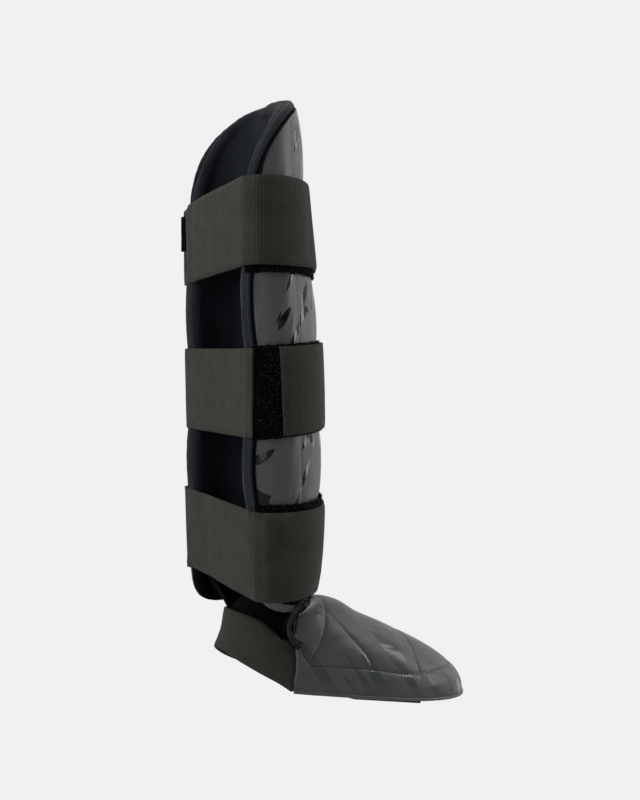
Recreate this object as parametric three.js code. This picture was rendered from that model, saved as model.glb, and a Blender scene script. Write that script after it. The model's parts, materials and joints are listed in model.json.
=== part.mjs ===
// Kickboxing shin guard with an instep guard: a padded C-shaped shell round the shin, closed behind by
// elastic straps on hook-and-loop bands, and a padded upper over the foot with a heel and a sole strap.
//
// Millimetres. +X points to the toes, +Y to the wearer's left, +Z up the leg.
// The origin is on the leg's axis, level with the middle strap.

import * as THREE from "three";
import { mergeVertices } from "three/addons/utils/BufferGeometryUtils.js";

// Driving dimensions
const GAP = 0.35; // between pieces that touch
const WEBBING = 63.5; // width of the shin and sole elastic, 2.5 inch webbing
const WEBBING_THICKNESS = 1.8;
const LOOP_THICKNESS = 1.8; // loop side of the hook-and-loop tape
const LOOP_SEAT = 0.7; // its clearance over the curved shell
const LINING_THICKNESS = 1.5;
const MERGE_DISTANCE = 1e-3;

// Shin shell: outer face of each level. front and back are the X of the shin and of the open edge,
// half is the widest half width, wall is the padding's thickness at the shin.
const SHIN_SECTIONS = [
  { z: -170, front: 18, back: -22, half: 60, wall: 11 },
  { z: -147, front: 31, back: -22.5, half: 63, wall: 14 },
  { z: -125, front: 38.5, back: -23.5, half: 64, wall: 16 },
  { z: -95, front: 42, back: -24.5, half: 64.5, wall: 17.5 },
  { z: -50, front: 43.5, back: -25.5, half: 64.5, wall: 18 },
  { z: 0, front: 43.5, back: -26.5, half: 64, wall: 18 },
  { z: 50, front: 41, back: -28, half: 63.5, wall: 18 },
  { z: 105, front: 35, back: -29.5, half: 62, wall: 17 },
  { z: 160, front: 28.5, back: -30.5, half: 61, wall: 15 },
  { z: 200, front: 26.5, back: -31.5, half: 60, wall: 14 },
  { z: 220, front: 23.5, back: -31.5, half: 58.5, wall: 13 },
  { z: 234, front: 17, back: -31.5, half: 56, wall: 12 },
];
const SHELL_GRID = { across: 26, along: 13, crowding: 1.45 }; // steps, closer together at the open edges
const EDGE_ANGLE = THREE.MathUtils.degToRad(106); // from the shin round to each open edge
const EDGE_WALL = 0.8; // the padding thins to this share of the wall at the open edges
const TOP_RIM = { peak: 221, drop: 71, roundness: 1.55 }; // knee end, high at the shin
// Ankle end, arched over the instep, with round corners, tilted so that the left side is lower
const BOTTOM_RIM = { side: -151.5, arch: 5, arch_power: 6, lift: 27, roundness: 4, tilt: -4 };
// Fabric roll round the whole rim: its section is a full arch with a sharp sewn groove along the middle.
const BINDING = {
  seat: 1.15,
  depth: 9.2,
  proud: 0.5,
  fullness: 0.8,
  groove: 0.22,
  sharpness: 12,
  points: 8,
};

// Straps: z is the middle of the band at the leg's axis, tilt how much higher the left side lies than
// the right, rise how much higher the shin lies than the open edge, loop_low and loop_high how far the
// loop band shows past the strap, hand which side it starts on (+1 left, -1 right), tip the X where the
// free end stops.
const STRAPS = [
  { name: "top", z: 128, tilt: -2, rise: 2.5, loop_low: 5, loop_high: -2, hand: 1, tip: -37 },
  { name: "middle", z: 11, tilt: 5.5, rise: 6, loop_low: 1.5, loop_high: 1.5, hand: -1, tip: -14 },
  { name: "bottom", z: -105.5, tilt: 10, rise: 0, loop_low: 3, loop_high: 5, hand: 1, tip: -24 },
];
const LOOP_INSET = THREE.MathUtils.degToRad(1.5); // from each open edge to the end of a loop band
const LOOP_MARGIN = 2; // from the shell's bottom rim to a loop band
const LOOP_GRID = { across: 24, along: 3 };
const STRAP_START = THREE.MathUtils.degToRad(130); // the way it faces where it is sewn on, at an open edge
const STRAP_END = THREE.MathUtils.degToRad(450); // and once round, where its tip leaves the widest place
const STRAP_STEPS = 46; // stations along each strap
const STRAP_ROWS = 5; // and across it
const STRAP_CLEARANCE = 0.5; // over the loop band and the binding
const SEAT_STEPS = 36; // stations on each half of the shell that a strap is laid on

// Foot upper, in a frame of its own: x from the ankle to the toe, z up from the sole's rim.
const FOOT_PLACE = { x: 10, z: -216, pitch: THREE.MathUtils.degToRad(11.4) };
const FOOT_SECTIONS = [
  { x: -4, half: 46.5, height: 65.5 },
  { x: 25, half: 48, height: 64.5 },
  { x: 60, half: 49, height: 60 },
  { x: 100, half: 47.5, height: 51 },
  { x: 135, half: 42, height: 40 },
  { x: 158, half: 34, height: 30 },
  { x: 173, half: 24, height: 20.5 },
  { x: 181, half: 13, height: 12 },
];
// Where the outer and the inner face end at the toe, and where each starts to close in a round.
const FOOT_LENGTH = { outer: 185, inner: 170, outer_round: 181, inner_round: 156 };
const FOOT_GRID = { across: 22, along: 20, crowding: 1.4 }; // steps, closer together at the toe
const TOE_SPRING = { from: 105, lift: 4 }; // the sole's rim rises by this to the toe
const FOOT_WALL = { crown: 13, rim: 9 };
// Ankle edge of the upper: x at the sole's rim, backward lean for each unit of height, and how far the
// arch over the instep is cut forward at the ridge.
const FOOT_REAR = { rim: -3, lean: 0.14, arch: 36, sharpness: 6 };

// Heel elastic: its lower and upper edges. phi is where the edge is sewn to the upper's ankle edge, x and
// z where it passes behind the heel, bow above 1 lets it hang below a smooth rise.
const HEEL_EDGES = {
  lower: { phi: THREE.MathUtils.degToRad(87), x: -33, z: -187, bow: 1.7 },
  upper: { phi: THREE.MathUtils.degToRad(53), x: -25, z: -157, bow: 1.1 },
};
const HEEL = { roundness: 1.45, layer: 0.15, clear: 0.8, steps: 28, rows: 3 };
// Sole elastic: flat between flat_half, then up to the rim
const SOLE = { rear: 52, sag: 4, flat_half: 30, half: 45, steps: 10 };

// Thin panel between the shell and the upper
const PANEL = {
  angle: THREE.MathUtils.degToRad(72), // round the shell to each side
  foot_share: 0.66, // of that angle, across the upper
  thickness: 2.4,
  hollow: 4, // how far its middle is drawn in
  hang: 0.4, // below the binding
  layer: 0.5, // in the upper's wall
  clear: 3, // behind the upper
  steps: 16,
  rows: 3,
};

// Gathered tabs at both ankles
const TAB = {
  theta: THREE.MathUtils.degToRad(87), // on the shell's rim
  phi: THREE.MathUtils.degToRad(57), // on the upper's ankle edge
  depth: 5,
  layer: -0.28, // off the upper's face
  hang: 0.7, // below the binding
  sides: 10,
  pleats: 5,
  pleat_depth: 0.18,
};
// Rings of a gathered tab: share of the way down, half width along the rim, half thickness.
const TAB_RINGS = [
  { share: 0, width: 8, thick: 2.6 },
  { share: 0.22, width: 5.5, thick: 2.8 },
  { share: 0.48, width: 3, thick: 2.6 },
  { share: 0.62, width: 4.6, thick: 3.2 },
  { share: 0.8, width: 3.4, thick: 2.6 },
  { share: 1, width: 5.2, thick: 2.2 },
];

// Finishes
const COATED_SKIN = { color: 0x2c2d2f, roughness: 0.3, metalness: 0 };
const LINING_CLOTH = { color: 0x14171c, roughness: 0.95, metalness: 0 };
const ELASTIC = { color: 0x3f403b, roughness: 0.9, metalness: 0 };
const LOOP_PILE = { color: 0x0c0d0f, roughness: 1, metalness: 0 };

const { lerp, clamp } = THREE.MathUtils;

// Value of one column of a table at a place along its first column, on a smooth curve through the rows.
function smoothColumn(table, place, column, at) {
  const slope = (i) => {
    const a = table[Math.max(i - 1, 0)];
    const b = table[Math.min(i + 1, table.length - 1)];
    return (b[column] - a[column]) / (b[place] - a[place]);
  };
  const last = table.length - 2;
  let i = 0;
  while (i < last && at > table[i + 1][place]) i += 1;
  const [a, b] = [table[i], table[i + 1]];
  const span = b[place] - a[place];
  const t = clamp((at - a[place]) / span, 0, 1);
  const rise = t * t * (3 - 2 * t);
  const early = t * (1 - t) * (1 - t) * span * slope(i);
  const late = t * t * (1 - t) * span * slope(i + 1);
  return lerp(a[column], b[column], rise) + early - late;
}

// A mesh's geometry from points and triangles: shared points are merged, slivers dropped and the
// faces turned outwards.
function closedGeometry(points, triangles) {
  const loose = new THREE.BufferGeometry().setFromPoints(points).setIndex(triangles.flat());
  const merged = mergeVertices(loose, MERGE_DISTANCE);
  const at = (i) => new THREE.Vector3().fromBufferAttribute(merged.attributes.position, i);
  const corners = merged.index.array;
  const kept = [];
  let volume = 0;
  for (let i = 0; i < corners.length; i += 3) {
    const [a, b, c] = corners.slice(i, i + 3);
    if (a === b || b === c || c === a) continue;
    kept.push([a, b, c]);
    volume += at(a).dot(at(b).cross(at(c)));
  }
  merged.setIndex(kept.map(([a, b, c]) => (volume > 0 ? [a, b, c] : [a, c, b])).flat());
  merged.computeVertexNormals();
  return merged;
}

// A closed wall: faces(u, v) gives its [outer, inner] points, for u and v from 0 to 1.
function wallGeometry(across, along, faces) {
  const pairs = [];
  for (let i = 0; i <= across; i += 1) {
    for (let j = 0; j <= along; j += 1) pairs.push(faces(i / across, j / along));
  }
  const points = [...pairs.map((pair) => pair[0]), ...pairs.map((pair) => pair[1])];
  const outer = (i, j) => i * (along + 1) + j;
  const inner = (i, j) => outer(i, j) + pairs.length;
  const triangles = [];
  const quad = (a, b, c, d) => triangles.push([a, b, c], [a, c, d]);
  for (let i = 0; i < across; i += 1) {
    for (let j = 0; j < along; j += 1) {
      quad(outer(i, j), outer(i + 1, j), outer(i + 1, j + 1), outer(i, j + 1));
      quad(inner(i, j + 1), inner(i + 1, j + 1), inner(i + 1, j), inner(i, j));
    }
    quad(outer(i + 1, 0), outer(i, 0), inner(i, 0), inner(i + 1, 0));
    quad(outer(i, along), outer(i + 1, along), inner(i + 1, along), inner(i, along));
  }
  for (let j = 0; j < along; j += 1) {
    quad(outer(0, j), outer(0, j + 1), inner(0, j + 1), inner(0, j));
    quad(outer(across, j + 1), outer(across, j), inner(across, j), inner(across, j + 1));
  }
  return closedGeometry(points, triangles);
}

// A solid through rings of points: the last ring joins the first, or each end gets a flat cap.
function ringGeometry(rings, joined) {
  const sides = rings[0].length;
  const triangles = [];
  const corner = (r, k) => (r % rings.length) * sides + (k % sides);
  const spans = joined ? rings.length : rings.length - 1;
  for (let r = 0; r < spans; r += 1) {
    for (let k = 0; k < sides; k += 1) {
      triangles.push([corner(r, k), corner(r, k + 1), corner(r + 1, k + 1)]);
      triangles.push([corner(r, k), corner(r + 1, k + 1), corner(r + 1, k)]);
    }
  }
  for (let k = 1; k < sides - 1 && !joined; k += 1) {
    triangles.push([corner(0, 0), corner(0, k + 1), corner(0, k)]);
    triangles.push([corner(spans, 0), corner(spans, k), corner(spans, k + 1)]);
  }
  return closedGeometry(rings.flat(), triangles);
}

// Shin shell

const shin = (column, z) => smoothColumn(SHIN_SECTIONS, "z", column, z);

// Point of the shell at an angle round the leg (0 at the shin, + to the left), depth in from its outer
// face.
function shinPoint(theta, z, depth = 0) {
  const [front, back, half] = [shin("front", z), shin("back", z), shin("half", z)];
  const cosEdge = Math.cos(EDGE_ANGLE);
  const centre = (back - front * cosEdge) / (1 - cosEdge);
  const reach = front - centre;
  const normal = new THREE.Vector2(Math.cos(theta) / reach, Math.sin(theta) / half).normalize();
  const x = centre + reach * Math.cos(theta) - depth * normal.x;
  const y = half * Math.sin(theta) - depth * normal.y;
  return new THREE.Vector3(x, y, z);
}

// Padding thickness: full at the shin, less towards the open edges.
function shinWall(theta, z) {
  const share = (theta / EDGE_ANGLE) ** 2;
  return shin("wall", z) * lerp(1, EDGE_WALL, share);
}

// How far back a rim point lies, 0 at the shin and 1 at the open edge, and a round corner over that way.
const rimShare = (theta) => (1 - Math.cos(theta)) / (1 - Math.cos(EDGE_ANGLE));
const roundCorner = (share, power) => 1 - Math.max(0, 1 - share ** power) ** (1 / power);

function topRim(theta) {
  return TOP_RIM.peak - TOP_RIM.drop * roundCorner(rimShare(theta), TOP_RIM.roundness);
}

function bottomRim(theta) {
  const arch = BOTTOM_RIM.arch * Math.cos(theta / 2) ** BOTTOM_RIM.arch_power;
  const corner = BOTTOM_RIM.lift * roundCorner(rimShare(theta), BOTTOM_RIM.roundness);
  return BOTTOM_RIM.side + arch + corner + BOTTOM_RIM.tilt * Math.sin(theta);
}

// Angle at a share 0 to 1 of the way across the shell, with closer steps towards the open edges.
function shinAngle(share) {
  const way = 2 * share - 1;
  return Math.sign(way) * EDGE_ANGLE * (1 - (1 - Math.abs(way)) ** SHELL_GRID.crowding);
}

// A layer of the shell between two depths, each a function of angle and height.
function shellLayer(outerDepth, innerDepth) {
  return wallGeometry(SHELL_GRID.across, SHELL_GRID.along, (u, v) => {
    const theta = shinAngle(u);
    const z = lerp(bottomRim(theta), topRim(theta), v);
    return [shinPoint(theta, z, outerDepth(theta, z)), shinPoint(theta, z, innerDepth(theta, z))];
  });
}

const liningFace = (theta, z) => shinWall(theta, z) + GAP + LINING_THICKNESS;
const shinPad = () => shellLayer(() => 0, shinWall);
const shinLining = () => shellLayer((theta, z) => shinWall(theta, z) + GAP, liningFace);

// Cross-section of the binding: a roll with a sewn groove along its middle, on the rim's face between
// its outer and inner corners. outerAway and innerAway point out of the rim at those corners.
function bindingRing(outer, inner, outerAway, innerAway) {
  const middle = outer.clone().lerp(inner, 0.5);
  const along = outer.clone().sub(inner);
  const half = along.length() / 2 + BINDING.proud;
  along.normalize();
  return Array.from({ length: BINDING.points }, (_, k) => {
    const turn = (Math.PI * k) / (BINDING.points - 1);
    const groove = 1 - BINDING.groove * Math.sin(turn) ** BINDING.sharpness;
    const out = BINDING.seat + BINDING.depth * Math.sin(turn) ** BINDING.fullness * groove;
    const away = innerAway.clone().lerp(outerAway, (1 + Math.cos(turn)) / 2).normalize();
    return middle.clone().addScaledVector(along, half * Math.cos(turn)).addScaledVector(away, out);
  });
}

// The rim's stations in order: up the right edge, over the top, down the left edge, back along the
// bottom.
function rimStations() {
  const { across: rimSteps, along: edgeSteps } = SHELL_GRID;
  const places = [];
  const edgePlace = (theta, v) => ({ theta, z: lerp(bottomRim(theta), topRim(theta), v) });
  for (let j = 0; j < edgeSteps; j += 1) places.push(edgePlace(-EDGE_ANGLE, j / edgeSteps));
  for (let i = 0; i < rimSteps; i += 1) {
    const theta = shinAngle(i / rimSteps);
    places.push({ theta, z: topRim(theta) });
  }
  for (let j = 0; j < edgeSteps; j += 1) places.push(edgePlace(EDGE_ANGLE, 1 - j / edgeSteps));
  for (let i = 0; i < rimSteps; i += 1) {
    const theta = shinAngle(1 - i / rimSteps);
    places.push({ theta, z: bottomRim(theta) });
  }
  return places;
}

function bindingRings() {
  const stations = rimStations().map(({ theta, z }) => ({
    outer: shinPoint(theta, z),
    inner: shinPoint(theta, z, liningFace(theta, z)),
  }));
  return stations.map((here, i) => {
    const before = stations[(i + stations.length - 1) % stations.length];
    const after = stations[(i + 1) % stations.length];
    const across = here.outer.clone().sub(here.inner).normalize();
    const away = (corner) => {
      const ahead = after[corner].clone().sub(here[corner]).normalize();
      const behind = here[corner].clone().sub(before[corner]).normalize();
      return across.clone().cross(ahead.add(behind)).normalize();
    };
    return bindingRing(here.outer, here.inner, away("outer"), away("inner"));
  });
}

const edgeRings = bindingRings();

// Straps and their loop bands

// How much a strap lies above its middle level at a place in plan.
function strapTilt(strap, x, y) {
  const [front, back, half] = [shin("front", strap.z), shin("back", strap.z), shin("half", strap.z)];
  return (strap.tilt * y) / (2 * half) + (strap.rise * x) / (front - back);
}

// Loop tape sewn round the shell under a strap, kept above the shell's bottom rim.
function loopBand(strap) {
  const low = strap.z - WEBBING / 2 - strap.loop_low;
  const high = strap.z + WEBBING / 2 + strap.loop_high;
  const reach = EDGE_ANGLE - LOOP_INSET;
  return wallGeometry(LOOP_GRID.across, LOOP_GRID.along, (u, v) => {
    const theta = lerp(-reach, reach, u);
    const place = shinPoint(theta, strap.z);
    const tilt = strapTilt(strap, place.x, place.y);
    const z = lerp(Math.max(low + tilt, bottomRim(theta) + LOOP_MARGIN), high + tilt, v);
    return [shinPoint(theta, z, -LOOP_SEAT - LOOP_THICKNESS), shinPoint(theta, z, -LOOP_SEAT)];
  });
}

// What a strap lies on at one level of its tilted band: the loop band round the shell and the binding
// at both edges.
function strapSeat(strap, level) {
  const height = (p) => level + strapTilt(strap, p.x, strap.hand * p.y);
  const seat = [];
  for (let i = -SEAT_STEPS; i <= SEAT_STEPS; i += 1) {
    const theta = (EDGE_ANGLE * i) / SEAT_STEPS;
    const z = height(shinPoint(theta, level));
    seat.push(shinPoint(theta, z, -LOOP_SEAT - LOOP_THICKNESS));
  }
  edgeRings.forEach((ring, r) => {
    const next = edgeRings[(r + 1) % edgeRings.length];
    ring.forEach((a, k) => {
      const b = next[k];
      const share = (height(a) - a.z) / (b.z - a.z);
      if (share >= 0 && share <= 1) seat.push(a.clone().lerp(b, share));
    });
  });
  return seat.map((p) => new THREE.Vector3(p.x, p.y, level));
}

// One row of stations along a tight strap, at one level: from the left edge's corner across the back to
// the right edge, round the shin and along the left side to its tip. At each turn the band touches the
// seat's furthest point that way, so it spans hollows, and its stiff tip goes straight on at the end.
function strapRow(strap, level) {
  const levels = [-0.5, 0, 0.5].map((share) => level + (share * WEBBING) / STRAP_ROWS);
  const seat = levels.flatMap((z) => strapSeat(strap, z)).map((p) => p.setZ(level));
  const stations = Array.from({ length: STRAP_STEPS }, (_, i) => {
    const turn = lerp(STRAP_START, STRAP_END, i / (STRAP_STEPS - 1));
    const out = new THREE.Vector3(Math.cos(turn), Math.sin(turn), 0);
    const touch = seat.reduce((best, p) => (p.dot(out) > best.dot(out) ? p : best));
    return { inner: touch.clone().addScaledVector(out, STRAP_CLEARANCE), out };
  });
  const { inner, out } = stations[STRAP_STEPS - 1];
  stations.push({ inner: inner.clone().setX(strap.tip), out });
  return stations;
}

function elasticStrap(strap) {
  const rows = Array.from({ length: STRAP_ROWS + 1 }, (_, j) =>
    strapRow(strap, strap.z + WEBBING * (j / STRAP_ROWS - 0.5)),
  );
  return wallGeometry(STRAP_STEPS, STRAP_ROWS, (u, v) => {
    const { inner, out } = rows[Math.round(v * STRAP_ROWS)][Math.round(u * STRAP_STEPS)];
    return [WEBBING_THICKNESS, 0].map((height) => {
      const p = inner.clone().addScaledVector(out, height);
      const y = strap.hand * p.y;
      return new THREE.Vector3(p.x, y, p.z + strapTilt(strap, p.x, y));
    });
  });
}

// Foot upper, in its own frame

function footRear(phi) {
  const lean = FOOT_REAR.lean * FOOT_SECTIONS[0].height * Math.cos(phi);
  return FOOT_REAR.rim - lean + FOOT_REAR.arch * Math.cos(phi) ** FOOT_REAR.sharpness;
}

// Point of the upper: phi across it (0 on the ridge, + to the left), share from the ankle to the toe,
// layer from its outer face, 0, to its inner face, 1. Each section is an arch, and the toe is round.
function footPoint(phi, share, layer) {
  const length = lerp(FOOT_LENGTH.outer, FOOT_LENGTH.inner, layer);
  const roundFrom = lerp(FOOT_LENGTH.outer_round, FOOT_LENGTH.inner_round, layer);
  const rear = footRear(phi);
  const x = lerp(rear, length, share);
  const section = (column) => smoothColumn(FOOT_SECTIONS, "x", column, Math.min(x, roundFrom));
  const close = Math.sqrt(1 - clamp((x - roundFrom) / (length - roundFrom), 0, 1) ** 2);
  const half = close * (section("half") - layer * FOOT_WALL.rim);
  const height = close * (section("height") - layer * FOOT_WALL.crown);
  const toeward = clamp((x - TOE_SPRING.from) / (FOOT_LENGTH.outer - TOE_SPRING.from), 0, 1);
  const z = height * Math.cos(phi) + TOE_SPRING.lift * toeward ** 2;
  return new THREE.Vector3(x, half * Math.sin(phi), z);
}

function footPad() {
  return wallGeometry(FOOT_GRID.across, FOOT_GRID.along, (u, v) => {
    const phi = lerp(-Math.PI / 2, Math.PI / 2, u);
    const share = 1 - (1 - v) ** FOOT_GRID.crowding;
    return [footPoint(phi, share, 0), footPoint(phi, share, 1)];
  });
}

// Elastic under the ball of the foot, flat in the middle and sewn under the rim at both sides.
function soleStrap() {
  return wallGeometry(SOLE.steps, 1, (u, v) => {
    const y = lerp(-SOLE.half, SOLE.half, u);
    const x = SOLE.rear + v * WEBBING;
    const slope = clamp((Math.abs(y) - SOLE.flat_half) / (SOLE.half - SOLE.flat_half), 0, 1);
    const bottom = lerp(-SOLE.sag, -GAP - WEBBING_THICKNESS, slope);
    return [new THREE.Vector3(x, y, bottom + WEBBING_THICKNESS), new THREE.Vector3(x, y, bottom)];
  });
}

// Ankle pieces, in the leg's frame

const foot = new THREE.Group();
foot.position.set(FOOT_PLACE.x, 0, FOOT_PLACE.z);
foot.rotation.y = FOOT_PLACE.pitch;
foot.updateMatrix();

// Point on or near the upper's ankle edge, in the leg's frame.
const footPlace = (phi, layer) => footPoint(phi, 0, layer).applyMatrix4(foot.matrix);

// Elastic behind the heel: a U in plan that rises from the upper's ankle edges to the back of the heel.
function heelStrap() {
  const { lower, upper } = HEEL_EDGES;
  const edge = (column, v) => lerp(lower[column], upper[column], v);
  const place = (turn, v) => {
    const sewn = footPlace(edge("phi", v), HEEL.layer);
    const back = Math.sin(turn) ** (2 / HEEL.roundness);
    const side = Math.abs(Math.cos(turn)) ** (2 / HEEL.roundness);
    const x = lerp(sewn.x - HEEL.clear, edge("x", v), back);
    const y = -Math.sign(Math.cos(turn)) * sewn.y * side;
    return new THREE.Vector3(x, y, lerp(sewn.z, edge("z", v), Math.sin(turn) ** edge("bow", v)));
  };
  const nudge = 0.02;
  return wallGeometry(HEEL.steps, HEEL.rows, (u, v) => {
    const turn = Math.PI * u;
    const before = place(Math.max(0, turn - nudge), v);
    const after = place(Math.min(Math.PI, turn + nudge), v);
    const along = after.sub(before).setZ(0).normalize();
    const out = new THREE.Vector3(along.y, -along.x, 0).multiplyScalar(WEBBING_THICKNESS / 2);
    const middle = place(turn, v);
    return [middle.clone().add(out), middle.clone().sub(out)];
  });
}

// Thin flexible panel that hangs the upper from the shell: from under the shell's rim to the upper's
// ankle edge.
function anklePanel() {
  return wallGeometry(PANEL.steps, PANEL.rows, (u, v) => {
    const theta = lerp(-PANEL.angle, PANEL.angle, u);
    const rim = bottomRim(theta);
    const depth = liningFace(theta, rim) / 2;
    const away = new THREE.Vector3(Math.cos(theta), Math.sin(theta), 0);
    const edge = footPlace(theta * PANEL.foot_share, PANEL.layer);
    return [0.5, -0.5].map((side) => {
      const hung = shinPoint(theta, rim, depth);
      hung.z -= BINDING.depth + PANEL.hang;
      const sewn = edge.clone();
      sewn.x -= PANEL.clear;
      const outward = side * PANEL.thickness - PANEL.hollow * Math.sin(Math.PI * v);
      return hung.lerp(sewn, v).addScaledVector(away, outward);
    });
  });
}

// Gathered tab of skin from the shell's lower rim to the upper's rear corner, on one hand.
function ankleTab(hand) {
  const theta = hand * TAB.theta;
  const from = shinPoint(theta, bottomRim(theta) - BINDING.depth - TAB.hang, TAB.depth);
  const to = footPlace(hand * TAB.phi, TAB.layer);
  const rings = TAB_RINGS.map(({ share, width, thick }) => {
    const middle = from.clone().lerp(to, share);
    return Array.from({ length: TAB.sides }, (_, k) => {
      const turn = (2 * Math.PI * k) / TAB.sides;
      const pleat = 1 + TAB.pleat_depth * Math.cos(TAB.pleats * turn);
      const corner = new THREE.Vector3(width * Math.cos(turn), thick * pleat * Math.sin(turn), 0);
      return corner.add(middle);
    });
  });
  return ringGeometry(rings, false);
}

// Assembly

const guard = new THREE.Group();

function addPiece(parent, name, geometry, surface) {
  const mesh = new THREE.Mesh(geometry, new THREE.MeshStandardMaterial(surface));
  mesh.name = name;
  parent.add(mesh);
}

addPiece(guard, "shin_pad", shinPad(), COATED_SKIN);
addPiece(guard, "shin_lining", shinLining(), LINING_CLOTH);
addPiece(guard, "edge_binding", ringGeometry(edgeRings, true), LINING_CLOTH);
for (const strap of STRAPS) {
  addPiece(guard, `loop_band_${strap.name}`, loopBand(strap), LOOP_PILE);
  addPiece(guard, `strap_${strap.name}`, elasticStrap(strap), ELASTIC);
}
addPiece(guard, "ankle_panel", anklePanel(), LINING_CLOTH);
addPiece(guard, "ankle_tab_right", ankleTab(-1), COATED_SKIN);
addPiece(guard, "ankle_tab_left", ankleTab(1), COATED_SKIN);
addPiece(guard, "heel_strap", heelStrap(), ELASTIC);
addPiece(foot, "foot_pad", footPad(), COATED_SKIN);
addPiece(foot, "sole_strap", soleStrap(), ELASTIC);
guard.add(foot);

export default guard;
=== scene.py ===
# %% [markdown]
# # Dressing a shin guard
# The guard comes to Blender as a set of plain CAD solids in one frame, in metres: X points to the
# toes, Z up the leg, and the open back of the shell is on the side of -X. The solids say where every
# piece lies. This lesson puts the soft things over them: foam under a coated skin, woven elastic,
# loop pile, knitted lining and thread. The solids themselves are never moved.

# %% Load the solids
import json
import math
import random

import bmesh
import bpy
import numpy as np
from mathutils import Matrix, Vector, noise
from mathutils.bvhtree import BVHTree

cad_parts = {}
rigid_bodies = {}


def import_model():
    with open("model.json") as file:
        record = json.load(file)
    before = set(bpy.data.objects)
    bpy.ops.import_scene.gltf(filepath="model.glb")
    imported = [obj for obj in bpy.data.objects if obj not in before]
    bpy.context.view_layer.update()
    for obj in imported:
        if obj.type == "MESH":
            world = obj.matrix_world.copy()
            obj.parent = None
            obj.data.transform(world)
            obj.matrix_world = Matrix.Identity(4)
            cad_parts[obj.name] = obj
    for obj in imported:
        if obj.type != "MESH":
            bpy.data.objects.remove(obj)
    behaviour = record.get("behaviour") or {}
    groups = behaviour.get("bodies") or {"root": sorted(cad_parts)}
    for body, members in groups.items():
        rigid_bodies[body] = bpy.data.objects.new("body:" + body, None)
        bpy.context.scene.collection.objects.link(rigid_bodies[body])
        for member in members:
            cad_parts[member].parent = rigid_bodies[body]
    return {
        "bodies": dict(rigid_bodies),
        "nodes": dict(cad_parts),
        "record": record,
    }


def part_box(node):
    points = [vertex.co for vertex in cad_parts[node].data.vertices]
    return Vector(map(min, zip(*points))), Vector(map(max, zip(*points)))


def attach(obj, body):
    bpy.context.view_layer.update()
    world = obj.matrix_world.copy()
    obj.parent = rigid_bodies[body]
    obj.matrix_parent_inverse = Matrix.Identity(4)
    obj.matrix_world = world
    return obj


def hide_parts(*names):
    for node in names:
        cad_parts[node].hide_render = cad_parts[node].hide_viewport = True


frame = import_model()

own = set(frame["nodes"].values()) | set(frame["bodies"].values())
for leftover in [item for item in bpy.data.objects if item not in own]:
    bpy.data.objects.remove(leftover)
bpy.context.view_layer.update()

# %% [markdown]
# ## The camera
# The photograph looks at the guard from behind and from the wearer's right, level with the middle of
# the shin. An empty target and a Track To constraint could aim the camera. A direction and
# to_track_quat need no extra object, so that is done here.

# %% Place the camera
MM = 0.001
# It looks level, at 60 degrees from the way of the toes, from about 0.76 m.
LOOK = Vector((0.5, 0.866, 0.0)).normalized()
STAND = Vector((-0.3375, -0.6815, 0.0008))
LENS, SENSOR = 44.1, 36.0
lens = bpy.data.cameras.new("camera")
lens.lens = LENS
lens.sensor_width = SENSOR
camera = bpy.data.objects.new("camera", lens)
camera.location = STAND
camera.rotation_euler = LOOK.to_track_quat("-Z", "Y").to_euler()
bpy.context.scene.collection.objects.link(camera)
bpy.context.scene.camera = camera
print("camera", [round(value, 3) for value in camera.location], "lens", lens.lens, "mm")

# %% [markdown]
# ## Colours and nodes
# Screen colours are written as sRGB hex, but shaders count in linear light, so one function turns one
# into the other. A second small function adds a node, sets what it is given, and links whatever is a
# socket. With these two a whole material reads from top to bottom.

# %% Two helpers for materials
def linear(hex_colour):
    """An sRGB hex colour as linear RGBA."""
    parts = [int(hex_colour[place:place + 2], 16) / 255 for place in (1, 3, 5)]
    return (*[part / 12.92 if part <= 0.04045 else ((part + 0.055) / 1.055) ** 2.4 for part in parts], 1.0)


def add(tree, kind, **settings):
    """A new node: a setting that is a property is set, a number goes to its input, a socket is linked."""
    node = tree.nodes.new(kind)
    for key, value in settings.items():
        name = key.replace("_", " ")
        if hasattr(node, key):
            setattr(node, key, value)
            continue
        place = int(name[3:]) if name.startswith("in ") else name
        if isinstance(value, bpy.types.NodeSocket):
            tree.links.new(value, node.inputs[place])
        else:
            node.inputs[place].default_value = value
    return node


print("sRGB #808080 is linear", round(linear("#808080")[0], 3))

# %% [markdown]
# ## Light
# The photograph was taken in a white studio: the ground behind the object is one flat pale grey, and
# glossy skin shows a white line where it turns away from the camera and mirrors the wall behind. An
# image of a room could be wrapped round the scene. A world that is bright behind the object and dim
# behind the camera needs one Dot Product and no image. The camera itself sees a flat grey instead,
# which Is Camera Ray of the Light Path node picks.

# %% Make the studio world
scene = bpy.context.scene
scene.view_settings.view_transform = "Standard"
PALE = "#f1f1f1"
# The wall's light behind the camera and behind the object, and the cosines between which it changes.
DIM, BRIGHT = 0.08, 0.85
BEHIND, BEFORE = -0.25, 0.85
world = bpy.data.worlds.new("studio")
world.use_nodes = True
scene.world = world
sky = world.node_tree
sky.nodes.clear()
way = add(sky, "ShaderNodeTexCoord")
ahead = add(sky, "ShaderNodeVectorMath", operation="DOT_PRODUCT", in_0=way.outputs["Generated"], in_1=LOOK)
wall = add(sky, "ShaderNodeMapRange", interpolation_type="SMOOTHSTEP", Value=ahead.outputs["Value"],
           From_Min=BEHIND, From_Max=BEFORE, To_Min=DIM, To_Max=BRIGHT)
studio = add(sky, "ShaderNodeBackground", Color=wall.outputs["Result"])
backdrop = add(sky, "ShaderNodeBackground", Color=linear(PALE))
seen = add(sky, "ShaderNodeLightPath")
either = add(sky, "ShaderNodeMixShader", in_0=seen.outputs["Is Camera Ray"],
             in_1=studio.outputs[0], in_2=backdrop.outputs[0])
add(sky, "ShaderNodeOutputWorld", Surface=either.outputs[0])
print("world ready, backdrop", PALE)

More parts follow.
